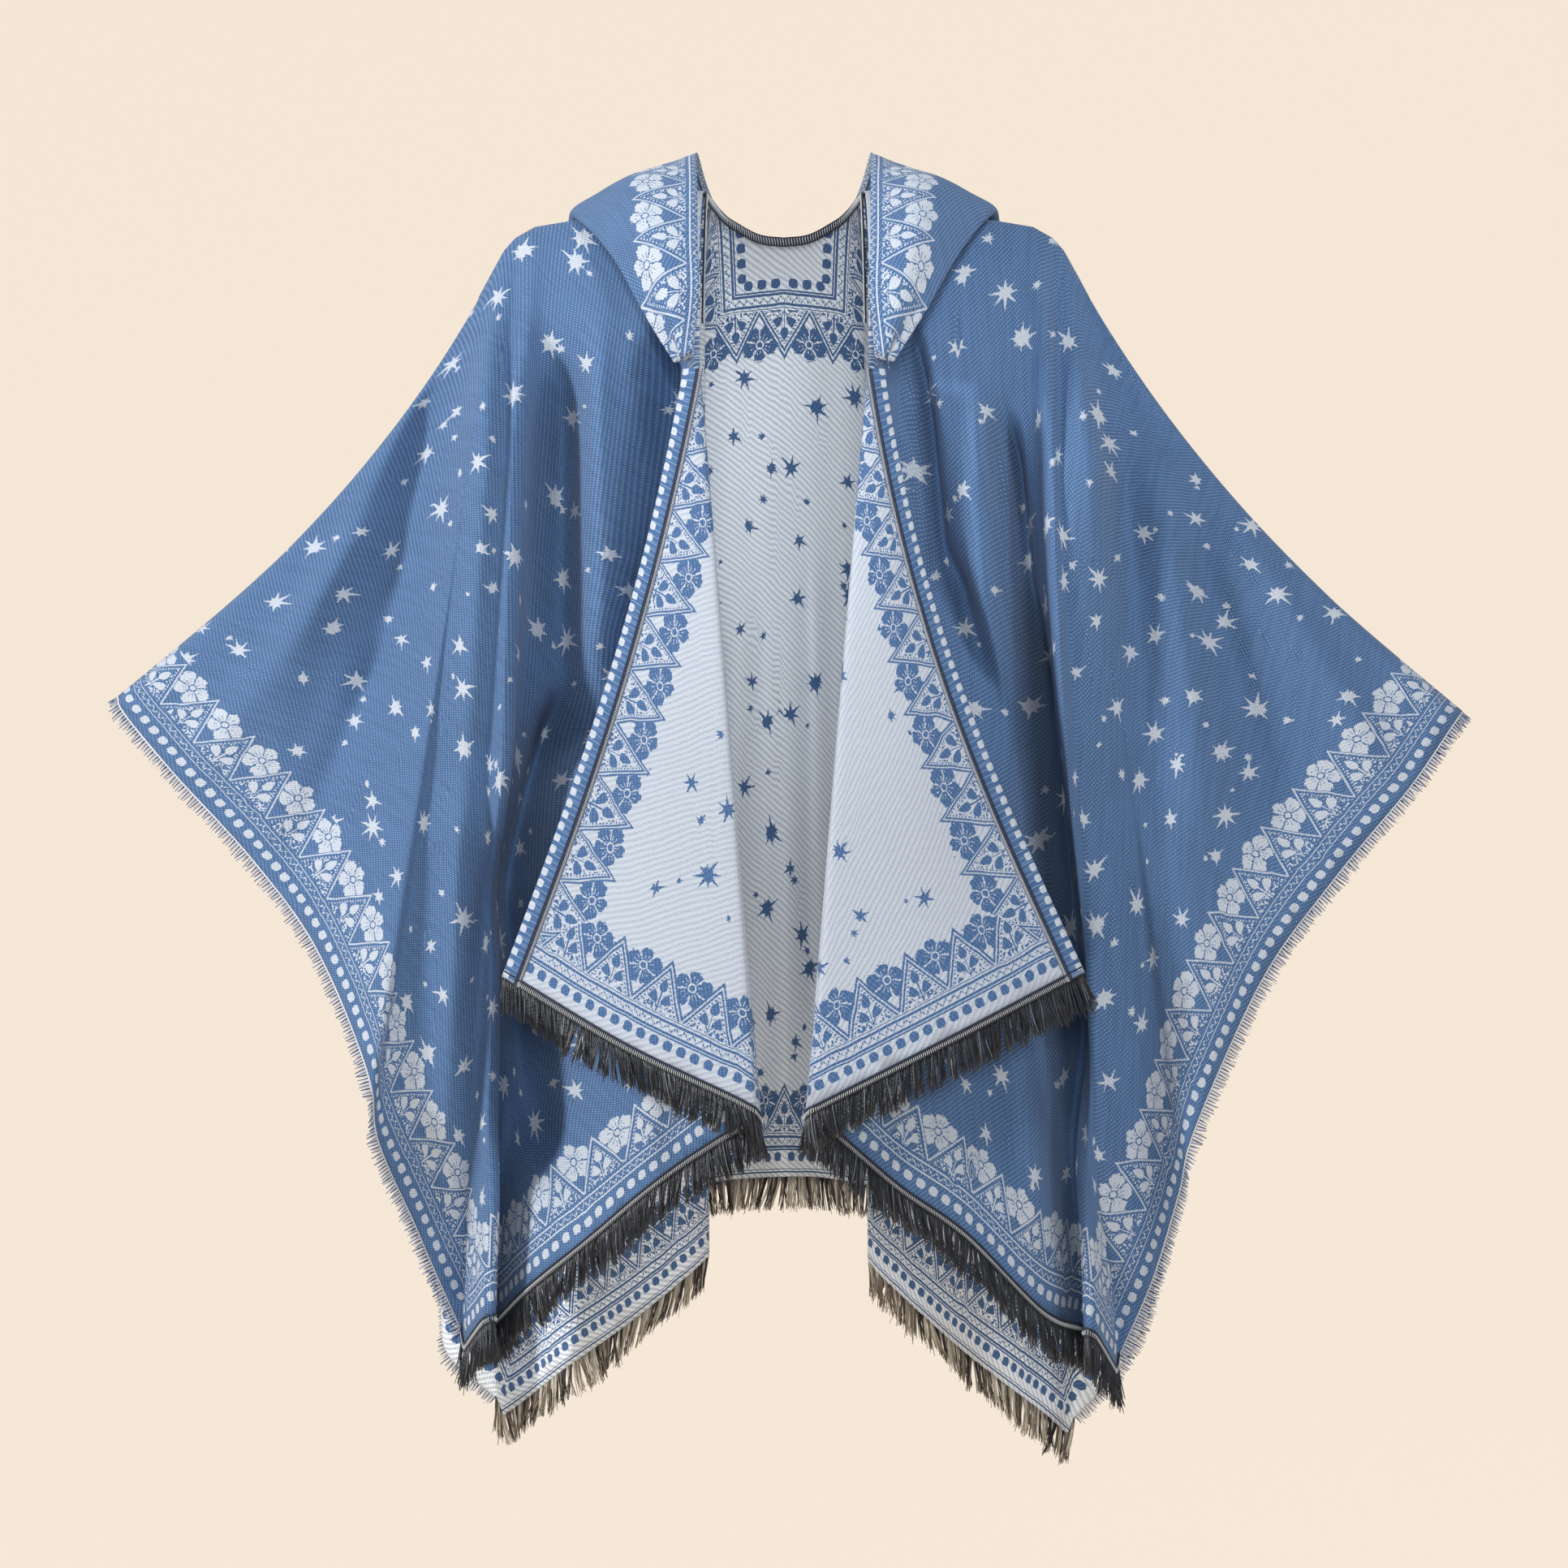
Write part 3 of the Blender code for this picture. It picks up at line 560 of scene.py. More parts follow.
# A five-petalled flower with veins stands between each two triangles.
from_valley = ((along / REPEAT + 0.5).fraction() - 0.5) * REPEAT
above_middle = inward - BASE - tall * 0.75
turn = above_middle.math("ARCTAN2", from_valley)
petals = abs((turn * 2.5 - 1.25 * math.pi).math("COSINE"))
away = (from_valley * from_valley + above_middle * above_middle).math("SQRT")
uneven = (turn * 2 + 0.8).math("SINE") * 1.3
ragged = speckle(figures, along, inward, 1.9) * 2.0 - turn.math("SINE") * 0.9 + uneven
bloom = away < (petals ** 0.5 * 5.6 + ragged + 7.2)
bloom = bloom * ((petals > 0.14).larger(away < 2.2))
veins = (abs((turn * 7.5).math("SINE")) < 0.22) * (away > 4.2) * (away < 8.2)
eye = away.near(2.7, 0.55)
bloom = bloom * veins.without() * eye.without() * (under_roof < -1.2)

border = dots.larger(lines).larger(zigzag).larger(triangle).larger(bloom)

# Stars fill the rest, and stay out of the border and off the hood. The lapels have fewer.
STARS_FROM, BELOW_HOOD = 71, 990
scatter_x, scatter_y = signed + behind * 3100, up + behind * 1700
on_lapel = (across < 205) * (up < 430) * behind.without()
large = stars_in(figures, scatter_x, scatter_y, 45, 7.6, 13.4, on_lapel * -0.5 + 0.93, 3.1)
small = stars_in(figures, scatter_x, scatter_y, 43, 2.4, 5.4, 0.62, 11.7)
stars = large.larger(small) * (inward > STARS_FROM) * (up < BELOW_HOOD)
figures.links.new(border.larger(stars).socket, given.inputs["Figure"])

# The weave itself: fine crossing twill on the blue face, and slanting ribs on the pale one.
WEFT_PITCH, WARP_PITCH, RIB_PITCH, STITCH_PITCH = 2.6, 1.7, 3.9, 1.35
WANDER = 7
WEAVE_READINGS = ("Crossing", "Slanting", "Streaks", "Fuzz", "Behind", "Lines")
weave, taken, given = new_group(
    "double_weave", (("Cut", "NodeSocketVector"), ("Opening", "NodeSocketVector")), WEAVE_READINGS,
)


def rows_of_thread(place, pitch):
    """Rises and falls from 0 to 1 with each thread."""
    return (place * (2 * math.pi / pitch)).math("SINE") * 0.5 + 0.5


def cloudy_in(tree, x, y, detail):
    """Soft noise over the flat cloth."""
    node = tree.nodes.new("ShaderNodeTexNoise")
    node.noise_dimensions = "2D"
    node.inputs["Scale"].default_value = 1
    node.inputs["Detail"].default_value = detail
    tree.links.new(vector_of(tree, x, y), node.inputs["Vector"])
    return Reading(tree, node.outputs[0])


across_cut, up_cut = parts_of(weave, taken.outputs["Cut"])
open_x, open_y = parts_of(weave, taken.outputs["Opening"])
x, y = across_cut * 1000, up_cut * 1000
crossing_lines = rows_of_thread(x * 0.5 + y * 0.87, WARP_PITCH)
crossing = rows_of_thread(x * 0.88 - y * 0.47, WEFT_PITCH) * crossing_lines
slanting = rows_of_thread(x * 0.6 + y * 0.8 + cloudy_in(weave, x / 60, y / 60, 2) * WANDER, RIB_PITCH)
stitchy = rows_of_thread(x * 0.8 - y * 0.6, STITCH_PITCH)
slanting = slanting.between(0.3, 0.85) * (stitchy * 0.8 + 0.2)
streaks = cloudy_in(weave, (x * 0.9 + y * 0.44) / 3.4, (y * 0.9 - x * 0.44) / 42, 3).between(0.35, 0.7)
fuzz = cloudy_in(weave, x / 1.3, y / 1.3, 2)
readings = (crossing, slanting, streaks, fuzz, open_y > -0.5, crossing_lines)
for name, reading in zip(WEAVE_READINGS, readings):
    weave.links.new(reading.socket, given.inputs[name])


def placed(tree, group):
    """Puts a node group in a material."""
    node = tree.nodes.new("ShaderNodeGroup")
    node.node_tree = group
    return node


def mixed(tree, first, second, share, way="MIX"):
    """Mixes two colours, each a plain colour or a socket."""
    node = tree.nodes.new("ShaderNodeMix")
    node.data_type = "RGBA"
    node.blend_type = way
    for socket, value in ((node.inputs[6], first), (node.inputs[7], second)):
        if isinstance(value, tuple):
            socket.default_value = (*value, 1)
        else:
            tree.links.new(value, socket)
    if isinstance(share, Reading):
        tree.links.new(share.socket, node.inputs[0])
    else:
        node.inputs[0].default_value = share
    return node.outputs[2]


def finished(name, roughness, sheen, specular):
    """A new material with its Principled shader."""
    material = bpy.data.materials.new(name)
    material.use_nodes = True
    tree = material.node_tree
    shader = tree.nodes["Principled BSDF"]
    shader.inputs["Roughness"].default_value = roughness
    shader.inputs["Metallic"].default_value = 0
    shader.inputs["Sheen Weight"].default_value = sheen
    shader.inputs["Sheen Roughness"].default_value = 0.5
    shader.inputs["Sheen Tint"].default_value = (0.75, 0.85, 1, 1)
    shader.inputs["Specular IOR Level"].default_value = specular
    return material, tree, shader


def bumped(tree, shader, height, distance, strength):
    """Feeds a height to the shader's normal."""
    bump = tree.nodes.new("ShaderNodeBump")
    bump.inputs["Strength"].default_value = strength
    bump.inputs["Distance"].default_value = distance
    tree.links.new(height.socket, bump.inputs["Height"])
    tree.links.new(bump.outputs[0], shader.inputs["Normal"])


BLUE_GROUND = (0.061, 0.124, 0.262)
BLUE_LIT = (0.285, 0.405, 0.575)
BLUE_DEEP = (0.035, 0.079, 0.17)
PALE_YARN = (0.51, 0.545, 0.605)
PALE_DULL = (0.30, 0.36, 0.465)
PALE_GROUND = (0.44, 0.48, 0.55)
# The pale face inside the back is painted far lighter than on the lapels: painted light on the inside of
# the back.
PALE_BEHIND_PAINTED_LIGHT = (0.80, 0.845, 0.90)
RIB_SHADE = (0.13, 0.19, 0.31)
BLUE_FIGURE = (0.055, 0.115, 0.25)


def map_of(tree, name):
    """What a uv map says."""
    node = tree.nodes.new("ShaderNodeUVMap")
    node.uv_map = name
    return node.outputs[0]


def cloth_face(name, blue):
    """One face of the cloth: pale figures on blue, or blue figures on pale."""
    material, tree, shader = finished(name, 0.9, 0.12, 0.12)
    cut, opening = map_of(tree, "cut"), map_of(tree, "opening")
    pattern, weaving = placed(tree, figures), placed(tree, weave)
    for node in (pattern, weaving):
        tree.links.new(cut, node.inputs["Cut"])
        tree.links.new(opening, node.inputs["Opening"])
    pattern.inputs["Doubled"].default_value = 0 if blue else 1
    figure = Reading(tree, pattern.outputs["Figure"])
    crossing, slanting, streaks, fuzz, behind, lines = (
        Reading(tree, weaving.outputs[name]) for name in WEAVE_READINGS
    )
    if blue:
        ground = mixed(tree, BLUE_GROUND, BLUE_DEEP, streaks * 0.4)
        ground = mixed(tree, ground, BLUE_LIT, crossing.between(0.3, 0.8) * 0.55)
        woven = lines.between(0.45, 0.9) * 0.62
        drawn = mixed(tree, PALE_YARN, PALE_DULL, woven.larger(fuzz.between(0.45, 0.7) * 0.5))
        height = crossing
    else:
        # Inside the back the pale ground takes the lighter colour: painted light.
        ground = mixed(tree, PALE_GROUND, PALE_BEHIND_PAINTED_LIGHT, behind)
        ground = mixed(tree, ground, RIB_SHADE, slanting * (behind * 0.36 + 0.2))
        ground = mixed(tree, ground, PALE_DULL, fuzz.between(0.5, 0.8) * 0.3)
        drawn = mixed(tree, BLUE_FIGURE, BLUE_LIT, crossing.between(0.4, 0.9) * 0.4)
        height = slanting * -1 + crossing * 0.3
    tree.links.new(mixed(tree, ground, drawn, figure), shader.inputs["Base Color"])
    bumped(tree, shader, height, 0.6 * MM, 0.6)
    return material


blue_face = cloth_face("jacquard_blue_face", True)
pale_face = cloth_face("jacquard_pale_face", False)


def made(mesh, maps, materials):
    """The piece that a mesh, its uv maps and its materials make, under the mesh's name."""
    for name, values in maps:
        layer = mesh.uv_layers.new(name=name)
        layer.data.foreach_set("uv", values.astype(np.float32).ravel())
    mesh.shade_smooth()
    for material in materials:
        mesh.materials.append(material)
    piece = bpy.data.objects.new(mesh.name, mesh)
    bpy.context.collection.objects.link(piece)
    return piece


def shell(name, panels, thick, faces_of_cloth):
    """One sheet of cloth from panels that meet exactly, thickened, with its uv maps.

    A panel is its points, its place in the flat cloth, its place round the opening, and the
    direction that its outside faces.
    """
    points, faces, cuts, openings = [], [], [], []
    count = 0
    for grid, cut, opening, outside in panels:
        columns, rows = grid.shape[:2]
        index = np.arange(columns * rows).reshape(columns, rows)
        near, far = index[:-1], index[1:]
        quads = np.stack((near[:, :-1], far[:, :-1], far[:, 1:], near[:, 1:]), axis=2).reshape(-1, 4)
        flat = grid.reshape(-1, 3)
        normal = np.cross(flat[quads[:, 2]] - flat[quads[:, 0]], flat[quads[:, 3]] - flat[quads[:, 1]])
        # The lower rows hang down, so they tell which way the panel's faces look.
        lower = np.tile(np.arange(rows - 1) > 0.7 * rows, columns - 1)
        if np.sum(normal[lower] @ np.array(outside, float)) < 0:
            quads = quads[:, ::-1]
        points.append(flat)
        faces.append(quads + count)
        cuts.append(cut.reshape(-1, 2)[quads].reshape(-1, 2))
        openings.append(opening.reshape(-1, 2)[quads].reshape(-1, 2))
        count += len(flat)
    points, faces = np.concatenate(points), np.concatenate(faces)
    first, where = np.unique(np.round(points, 6), axis=0, return_index=True, return_inverse=True)[1:]
    faces = where.reshape(-1)[faces]
    mesh = bpy.data.meshes.new(name)
    mesh.from_pydata(points[first].tolist(), [], faces.tolist())
    maps = (("cut", np.concatenate(cuts)), ("opening", np.concatenate(openings)))
    piece = made(mesh, maps, faces_of_cloth)
    if len(faces) > MOST_FACES:
        fewer = piece.modifiers.new("fewer_faces", "DECIMATE")
        fewer.ratio = MOST_FACES / len(faces)
        fewer.use_collapse_triangulate = True
    thickness = piece.modifiers.new("thickness", "SOLIDIFY")
    thickness.thickness = thick
    thickness.offset = 0
    thickness.use_quality_normals = True
    thickness.material_offset = 1
    thickness.material_offset_rim = 0
    return piece


# The map named opening says how far a point is from the opening's sides, and behind also how far
# below its foot. In front that second value is always this one.
NO_FOOT = -1.0
BACK_OPENING_SIDE = 0.02
BACK_OPENING_FOOT = 0.08
# The panels are listed as front, lapel and back, first of the left side and then of the right one.
# A hem is its edge and the line of points above it.
hems, body_panels, selvages = {}, [], []
for side in ("left", "right"):
    turn_u = np.array((-1 if side == "left" else 1, 1))
    sign = np.array((turn_u[0], 1, 1)) * MM
    front, places, corner = front_panel(side)
    lapel = lapel_panel(side, front[0, FOOT_ROW:])
    front, lapel = front * sign, lapel * sign
    fall = np.maximum(ALONG - ROUND, 0) / (1 - ROUND)

    lapel_u = run_of(lapel[:, -1])
    lapel_top = run_of(lapel[:, 0])
    lapel_fall = fall[FOOT_ROW:]
    lapel_cut = np.stack((
        lapel_top[:, None] + (lapel_u - lapel_top)[:, None] * lapel_fall,
        SLIT_TOP * (1 - lapel_fall)[None, :] + 0 * lapel_u[:, None],
    ), axis=2)

    top_u = np.abs(front[:, 0, 0])
    cut = straight_cut(front, top_u, np.full(len(top_u), FRONT_LENGTH), lapel_u[-1], corner)
    scoop = np.minimum(ALONG / ROUND, 1)
    end_u = cut[:, -1, 0][:, None]
    down_slit = np.stack((
        NECK_SIDE[0] * MM * np.sqrt(1 - scoop ** 2) + end_u * fall,
        (FRONT_LENGTH - (FRONT_LENGTH - SLIT_TOP) * scoop - SLIT_TOP * fall)[None, :] + 0 * end_u,
    ), axis=2)
    own = np.clip(places - 1, 0, 1)[:, None, None]
    cut = cut * own + down_slit * (1 - own)
    front, cut, old_edge = trimmed(front, cut)
    selvages.append((front[corner:, -1], old_edge[corner:]))
    hems["front_" + side] = (front[:corner + 1, -1], front[:corner + 1, -2])
    hems["lapel_" + side] = (lapel[:, -1], lapel[:, -2])
    for panel, own_cut, outside in ((front, cut, (0, -1, 0)), (lapel, lapel_cut, (0, 1, 0))):
        opening = np.stack((own_cut[:, :, 0] + TURNED_UNDER, np.full(panel.shape[:2], NO_FOOT)), axis=2)
        body_panels.append((panel, own_cut * turn_u, opening, outside))

    back, places, corner = back_panel(side, top_u / MM)
    back = back * sign
    top_u = np.abs(back[:, 0, 0])
    top_v = BACK_LENGTH - np.hypot(back[:, 0, 1], np.where(places < BACK_NECK_SIDE, back[:, 0, 2], 0))
    cut = straight_cut(back, top_u, top_v, 0.0, corner)
    back, cut, old_edge = trimmed(back, cut)
    selvages.append((back[corner:, -1], old_edge[corner:]))
    hems["back_" + side] = (back[:corner + 1, -1], back[:corner + 1, -2])
    below_foot = BACK_LENGTH - cut[:, :, 1] - BACK_OPENING_FOOT
    opening = np.stack((cut[:, :, 0] - BACK_OPENING_SIDE, below_foot), axis=2)
    body_panels.append((back, cut * turn_u, opening, (0, 1, 0)))

body = shell("poncho_cloth", body_panels, CLOTH, (blue_face, pale_face))
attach(body, "root")
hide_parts("front_left", "front_right", "lapel_left", "lapel_right", "back")

# Hood
# Two mirrored halves of the same cloth, seamed on the centre line. Its foot is sewn to the
# neckline, and it lies down over the upper back with its opening's border turned up.
# Each row is one section: seam, under layer, outer fold, upper layer and opening edge as x, y, z,
# and the last number lifts the cloth beside the seam.
HOOD = np.array((
    (64, -91, -125, 70, -92, -127, 77, -96, -128, 71, -101, -126, 65, -101, -123, 0),
    (61, -84, -78, 80, -88, -87, 99, -90, -92, 82, -103, -84, 60, -100, -81, 2),
    (60, -70, -43, 92, -70, -50, 122, -62, -51, 94, -86, -40, 61, -87, -43, 3),
    (59, -43, -10, 103, -32, -11, 148, -18, -16, 106, -38, 8, 62, -46, 6, 4),
    (58, 1, 5, 105, 10, 0, 157, 16, -14, 112, 14, 14, 63, 6, 34, 4),
    (54.5, 20, 3, 105, 54, -18, 159, 58, -68, 116, 74, -9, 56, 46, 14, 10),
    (38, 54, -9, 94, 82, -62, 144, 92, -152, 104, 106, -72, 39, 84, -20, 14),
    (19, 63, -18, 52, 102, -110, 88, 136, -245, 60, 134, -120, 20, 98, -31, 14),
    (0, 66, -20, 0, 110, -118, 0, 148, -290, 0, 140, -135, 0, 106, -37, 14),
))
HOOD_FOLD_HALF = 5
HOOD_OPEN = 20
HOOD_LAYER_POINTS = 7
HOOD_TURNED_IN = 0.0225
HOOD_COLUMNS = 81
HOOD_ROWS = 57
HOOD_RIPPLE = 1.6
HOOD_RIPPLES = 8


def by_length(points, count):
    """Points evenly spaced on a smooth curve through a section's points."""
    fine = through(points, np.linspace(0, len(points) - 1, 12 * len(points)))
    run = run_of(fine)
    return read_at(np.linspace(0, run[-1], count), run, fine)


def hood_half():
    """Half of the hood: each section runs from the seam out to the fold and back to the opening."""
    sections = []
    for row in HOOD:
        seam, under, fold, over, edge = row[:15].reshape(5, 3)
        rise = seam * 0.65 + under * 0.35 + np.array((0, 0.5 * np.sign(seam[1] + 20), 0.85)) * row[15]
        along = (fold - under) / np.linalg.norm(fold - under)
        gap = over - under
        apart = gap - along * np.dot(gap, along)
        opened = min(1, np.linalg.norm(gap) / HOOD_OPEN)
        apart = apart / np.linalg.norm(apart) * HOOD_FOLD_HALF * opened
        inner = fold - along * HOOD_FOLD_HALF
        lower = by_length((seam, rise, under, inner - apart), HOOD_LAYER_POINTS)
        upper = by_length((inner + apart, over, edge), HOOD_LAYER_POINTS)
        sections.append(np.vstack((lower, fold, upper)))
    grid = through(sections, np.linspace(0, len(HOOD) - 1, HOOD_COLUMNS)).transpose(1, 0, 2)
    grid = through(grid, np.linspace(0, len(grid) - 1, HOOD_ROWS)).transpose(1, 0, 2)
    grid[-1, :, 0] = 0
    return grid


hood_panels = []
for turn in (-1, 1):
    half = hood_half()
    place = np.linspace(0, HOOD_RIPPLES, HOOD_COLUMNS)[:, None] + (1 if turn < 0 else 0)
    share = np.linspace(0, 1, HOOD_ROWS)[None, :]
    fade = np.sin(math.pi * share) * np.sin(math.pi * np.clip(place / HOOD_RIPPLES, 0, 1))
    half[:, :, 2] += HOOD_RIPPLE * np.sin(place * 1.9 + share * 5) * fade
    half = half * np.array((turn, 1, 1)) * MM
    from_edge = np.array([run_of(line)[-1] - run_of(line) for line in half])
    edge_run = run_of(half[:, -1])[:, None] + 0 * from_edge
    # A metre up the pattern there are no stars, so the hood has the border alone.
    cut = np.stack((turn * from_edge, edge_run + 1), axis=2)
    opening = np.stack((from_edge + HOOD_TURNED_IN, np.full(from_edge.shape, NO_FOOT)), axis=2)
    hood_panels.append((half, cut, opening, (0, -0.3, 1)))
hood = shell("hood_cloth", hood_panels, CLOTH, (blue_face, pale_face))
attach(hood, "root")
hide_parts("hood_left", "hood_right")

# Turned edges
# Each slit edge is turned 11.5 mm to the pale side, so that a strip of the blue face with its row
# of dots shows along the lapel. The dots stand closer together there.
TURNED = 0.0115
STRIP_CLOSER = 1.25
STRIP_THICK = 0.9 * MM
STRIP_POINTS = 150
STRIP_CUT = (0.2, 1.0)
LIFT = np.array((0.3, 1.0, 1.35, 1.35, 1.3, 1.25)) * MM
ACROSS = np.array((-0.05, 0.02, 0.2, 0.5, 0.8, 1.0))
turned_lines = {}
for side, panel in (("left", body_panels[1]), ("right", body_panels[4])):
    lapel = panel[0]
    run = run_of(lapel[0])
    fine = np.linspace(0, run[-1], STRIP_POINTS)
    edge, beside, last = (read_at(fine, run, lapel[column]) for column in (0, 6, -1))
    room = np.linalg.norm(beside - edge, axis=1)
    into = (beside - edge) / room[:, None]
    reach = np.minimum(TURNED, 0.8 * np.linalg.norm(last - edge, axis=1) + MM)
    outward = np.cross(into, np.gradient(edge, axis=0))
    outward /= np.linalg.norm(outward, axis=1, keepdims=True)
    outward *= -np.sign(outward[:, 1:2])
    grid = np.stack([
        edge + into * (reach * share)[:, None] + outward * lift for share, lift in zip(ACROSS, LIFT)
    ])
    turned_lines[side] = (grid[-1], into, outward)
    cut = np.stack((
        np.full(grid.shape[:2], STRIP_CUT[0]),
        STRIP_CUT[1] + np.tile(fine, (len(grid), 1)) * STRIP_CLOSER,
    ), axis=2)
    opening = np.stack((
        TURNED_UNDER - TURNED * STRIP_CLOSER * np.tile(ACROSS[:, None], (1, len(fine))),
        np.full(grid.shape[:2], NO_FOOT),
    ), axis=2)
    panels = [(grid, cut, opening, (0, -1, 0))]
    strip = shell("turned_strip_" + side, panels, STRIP_THICK, (blue_face, pale_face))
    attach(strip, "root")
    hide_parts("turned_edge_" + side)

# Overlock
# Sewing thread that binds the cut edges: close pale stitches over a bed of black thread along the
# front hems, and over navy and slate thread along the turned edges.
CORD_STEP = 0.7 * MM


def resampled(lines, step):
    """Lines that run side by side, read at even steps along the first of them."""
    run = run_of(lines[0])
    fine = np.linspace(0, run[-1], max(2, int(run[-1] / step)))
    return [read_at(fine, run, line) for line in lines]


def unit(vectors):
    """The same directions, one unit long."""
    return vectors / np.maximum(np.linalg.norm(vectors, axis=-1, keepdims=True), 1e-12)


def tubes(paths, radii, sides):
    """Many thin tubes as one set of points and faces. paths is tubes by rings by 3."""
    count, rings = paths.shape[:2]
    along = unit(np.gradient(paths, axis=1))
    spare = np.where(np.abs(along[:, :1, 1:2]) > 0.8, np.array((1.0, 0, 0)), np.array((0, 1.0, 0)))
    side = unit(np.cross(along, spare))
    other = np.cross(along, side)
    turn = np.arange(sides) * 2 * math.pi / sides + 0.4
    ring = side[:, :, None] * np.cos(turn)[:, None] + other[:, :, None] * np.sin(turn)[:, None]
    points = paths[:, :, None] + ring * radii[..., None, None]
    index = np.arange(count * rings * sides).reshape(count, rings, sides)
    after = np.roll(index, -1, axis=2)
    quads = np.stack((index[:, :-1], after[:, :-1], after[:, 1:], index[:, 1:]), axis=3).reshape(-1, 4)
    start, end = index[:, 0, ::-1].reshape(-1, sides), index[:, -1].reshape(-1, sides)
    return points.reshape(-1, 3), quads, np.concatenate((start, end))


def yarns(name, sets, material, node=None):
    """One mesh of many threads. Each set is paths, radii, a tone for each thread, and its sides."""
    points, faces, tones = [], [], []
    count = 0
    for paths, radii, tone, sides in sets:
        own, quads, caps = tubes(paths, radii, sides)
        points.append(own)
        for some in (quads, caps):
            faces += (some + count).tolist()
        length = np.tile(np.linspace(0, 1, paths.shape[1])[None, :, None], (len(paths), 1, sides))
        tone = np.broadcast_to(tone[:, None, None], length.shape)
        tones.append(np.stack((tone, length), axis=-1).reshape(-1, 2))
        count += len(own)
    mesh = bpy.data.meshes.new(name)
    mesh.from_pydata(np.concatenate(points).tolist(), [], faces)
    corner = np.empty(len(mesh.loops), dtype=np.int32)
    mesh.loops.foreach_get("vertex_index", corner)
    piece = made(mesh, [("thread", np.concatenate(tones)[corner])], (material,))
    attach(piece, "root")
    if node:
        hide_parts(node)
    return piece


def thread_finish(name, stops, roughness, sheen, specular, root_shade=0.0):
    """Yarn whose colour goes by its own tone, twisted, and darker at its root."""
    material, tree, shader = finished(name, roughness, sheen, specular)
    tone, length = parts_of(tree, map_of(tree, "thread"))
    ramp = tree.nodes.new("ShaderNodeValToRGB")
    ramp.color_ramp.interpolation = "CONSTANT"
    while len(ramp.color_ramp.elements) < len(stops):
        ramp.color_ramp.elements.new(0.5)
    for element, (place, colour) in zip(ramp.color_ramp.elements, stops):
        element.position = place
        element.color = (*colour, 1)
    tree.links.new(tone.socket, ramp.inputs[0])
    twist = (length * 60 + tone * 40).math("SINE") * 0.5 + 0.5
    colour = mixed(tree, ramp.outputs[0], (0.5, 0.5, 0.5), twist * 0.22, "MULTIPLY")
    colour = mixed(tree, colour, (0.12, 0.14, 0.2), length.without() * root_shade, "MULTIPLY")
    tree.links.new(colour, shader.inputs["Base Color"])
    bumped(tree, shader, twist, 0.3 * MM, 0.4)
    return material


# Tones from 0 are black, from 0.3 navy, from 0.55 slate and from 0.8 pale.
overlock_finish = thread_finish(
    "overlock_thread",
    (
        (0, (0.008, 0.009, 0.013)), (0.3, (0.012, 0.016, 0.04)),
        (0.55, (0.10, 0.12, 0.18)), (0.8, (0.52, 0.54, 0.57)),
    ),
    0.6, 0.1, 0.35,
)


def bed(line, into, outward, width, height):
    """A flat bed of thread under the stitches, as side by side cords."""
    shares = np.linspace(0, 1, max(2, int(width / CORD_STEP)))
    return np.stack([line + into * (width * share) + outward * height for share in shares])


def stitches(line, into, outward, width, pitch, height, slant):
    """Short threads laid across an edge, one every pitch."""
    line, inner, out = resampled((line, line + into * width, line + outward), pitch)
    out = unit(out - line)
    lead = unit(np.gradient(line, axis=0)) * slant
    inner = inner + lead
    middle = (line + inner) / 2 + out * (height * 1.35)
    return np.stack((line + out * height * 0.4, middle, inner + out * height * 0.5), axis=1)


def threads(paths, radius, tone, sides):
    """A set of threads that are all of one thickness, for a mesh of yarns."""
    tones = np.broadcast_to(np.asarray(tone, float), len(paths))
    return paths, np.full(paths.shape[:2], radius), tones, sides


for side in ("left", "right"):
    for part in ("front", "lapel"):
        edge, above = resampled(hems[part + "_" + side], 3 * MM)
        into = unit(above - edge)
        out = unit(np.cross(into, np.gradient(edge, axis=0)))
        out *= -1 if np.sum(out[:, 1]) > 0 else 1
        start = edge - into * 0.8 * MM
        sets = []
        for facing in (1, -1):
            cords = bed(start, into, out * facing, 4.6 * MM, 0.85 * MM)
            bars = stitches(start, into, out * facing, 4.2 * MM, 1.5 * MM, 1.45 * MM, 0.5 * MM)
            sets += [threads(cords, 0.5 * MM, 0.1, 4), threads(bars, 0.34 * MM, 0.9, 4)]
        rims = np.stack((start, edge + into * 4.2 * MM + out * 1.5 * MM))
        sets.append(threads(rims, 0.75 * MM, (0.1, 0.4), 6))
        yarns("overlock_" + part + "_" + side, sets, overlock_finish)
    line, into, out = turned_lines[side]
    dark = bed(line - into * 0.9 * MM, into, out, 1.5 * MM, 0.5 * MM)
    slate = bed(line + into * 1.2 * MM, into, out, 1.8 * MM, -0.5 * MM)
    bars = stitches(line + into * 0.9 * MM, into, out, 2.2 * MM, 1.35 * MM, 0.35 * MM, 0.5 * MM)
    sets = (
        threads(dark, 0.55 * MM, 0.35, 5), threads(slate, 0.55 * MM, 0.6, 4),
        threads(bars, 0.34 * MM, 0.9, 4),
    )
    yarns("overlock_slit_" + side, sets, overlock_finish)

# Neck seam
# The allowance where hood and neckline are joined, overlocked together and lying inside the neck.
NECK_ALLOWANCE = 5.6 * MM
neck = [body_panels[n][0][0, 2:FOOT_ROW - 1] for n in (0, 3)]
backs = [body_panels[n][0][:, 0] for n in (2, 5)]
across_back = [line[np.abs(line[:, 0]) <= NECK_SIDE[0] * MM + 1e-6] for line in backs]
path = np.concatenate((neck[0][::-1], across_back[0][::-1], across_back[1][1:], neck[1]))
inward = unit(np.stack((-path[:, 0], -np.maximum(path[:, 1], 0), 0 * path[:, 2]), axis=1))
path = path + inward * 1.9 * MM
path, toward = resampled((path, path + inward), 2 * MM)
inward = unit(toward - path)
down = np.tile((0, 0, -1.0), (len(path), 1))
top = path + np.array((0, 0, 3.4 * MM))
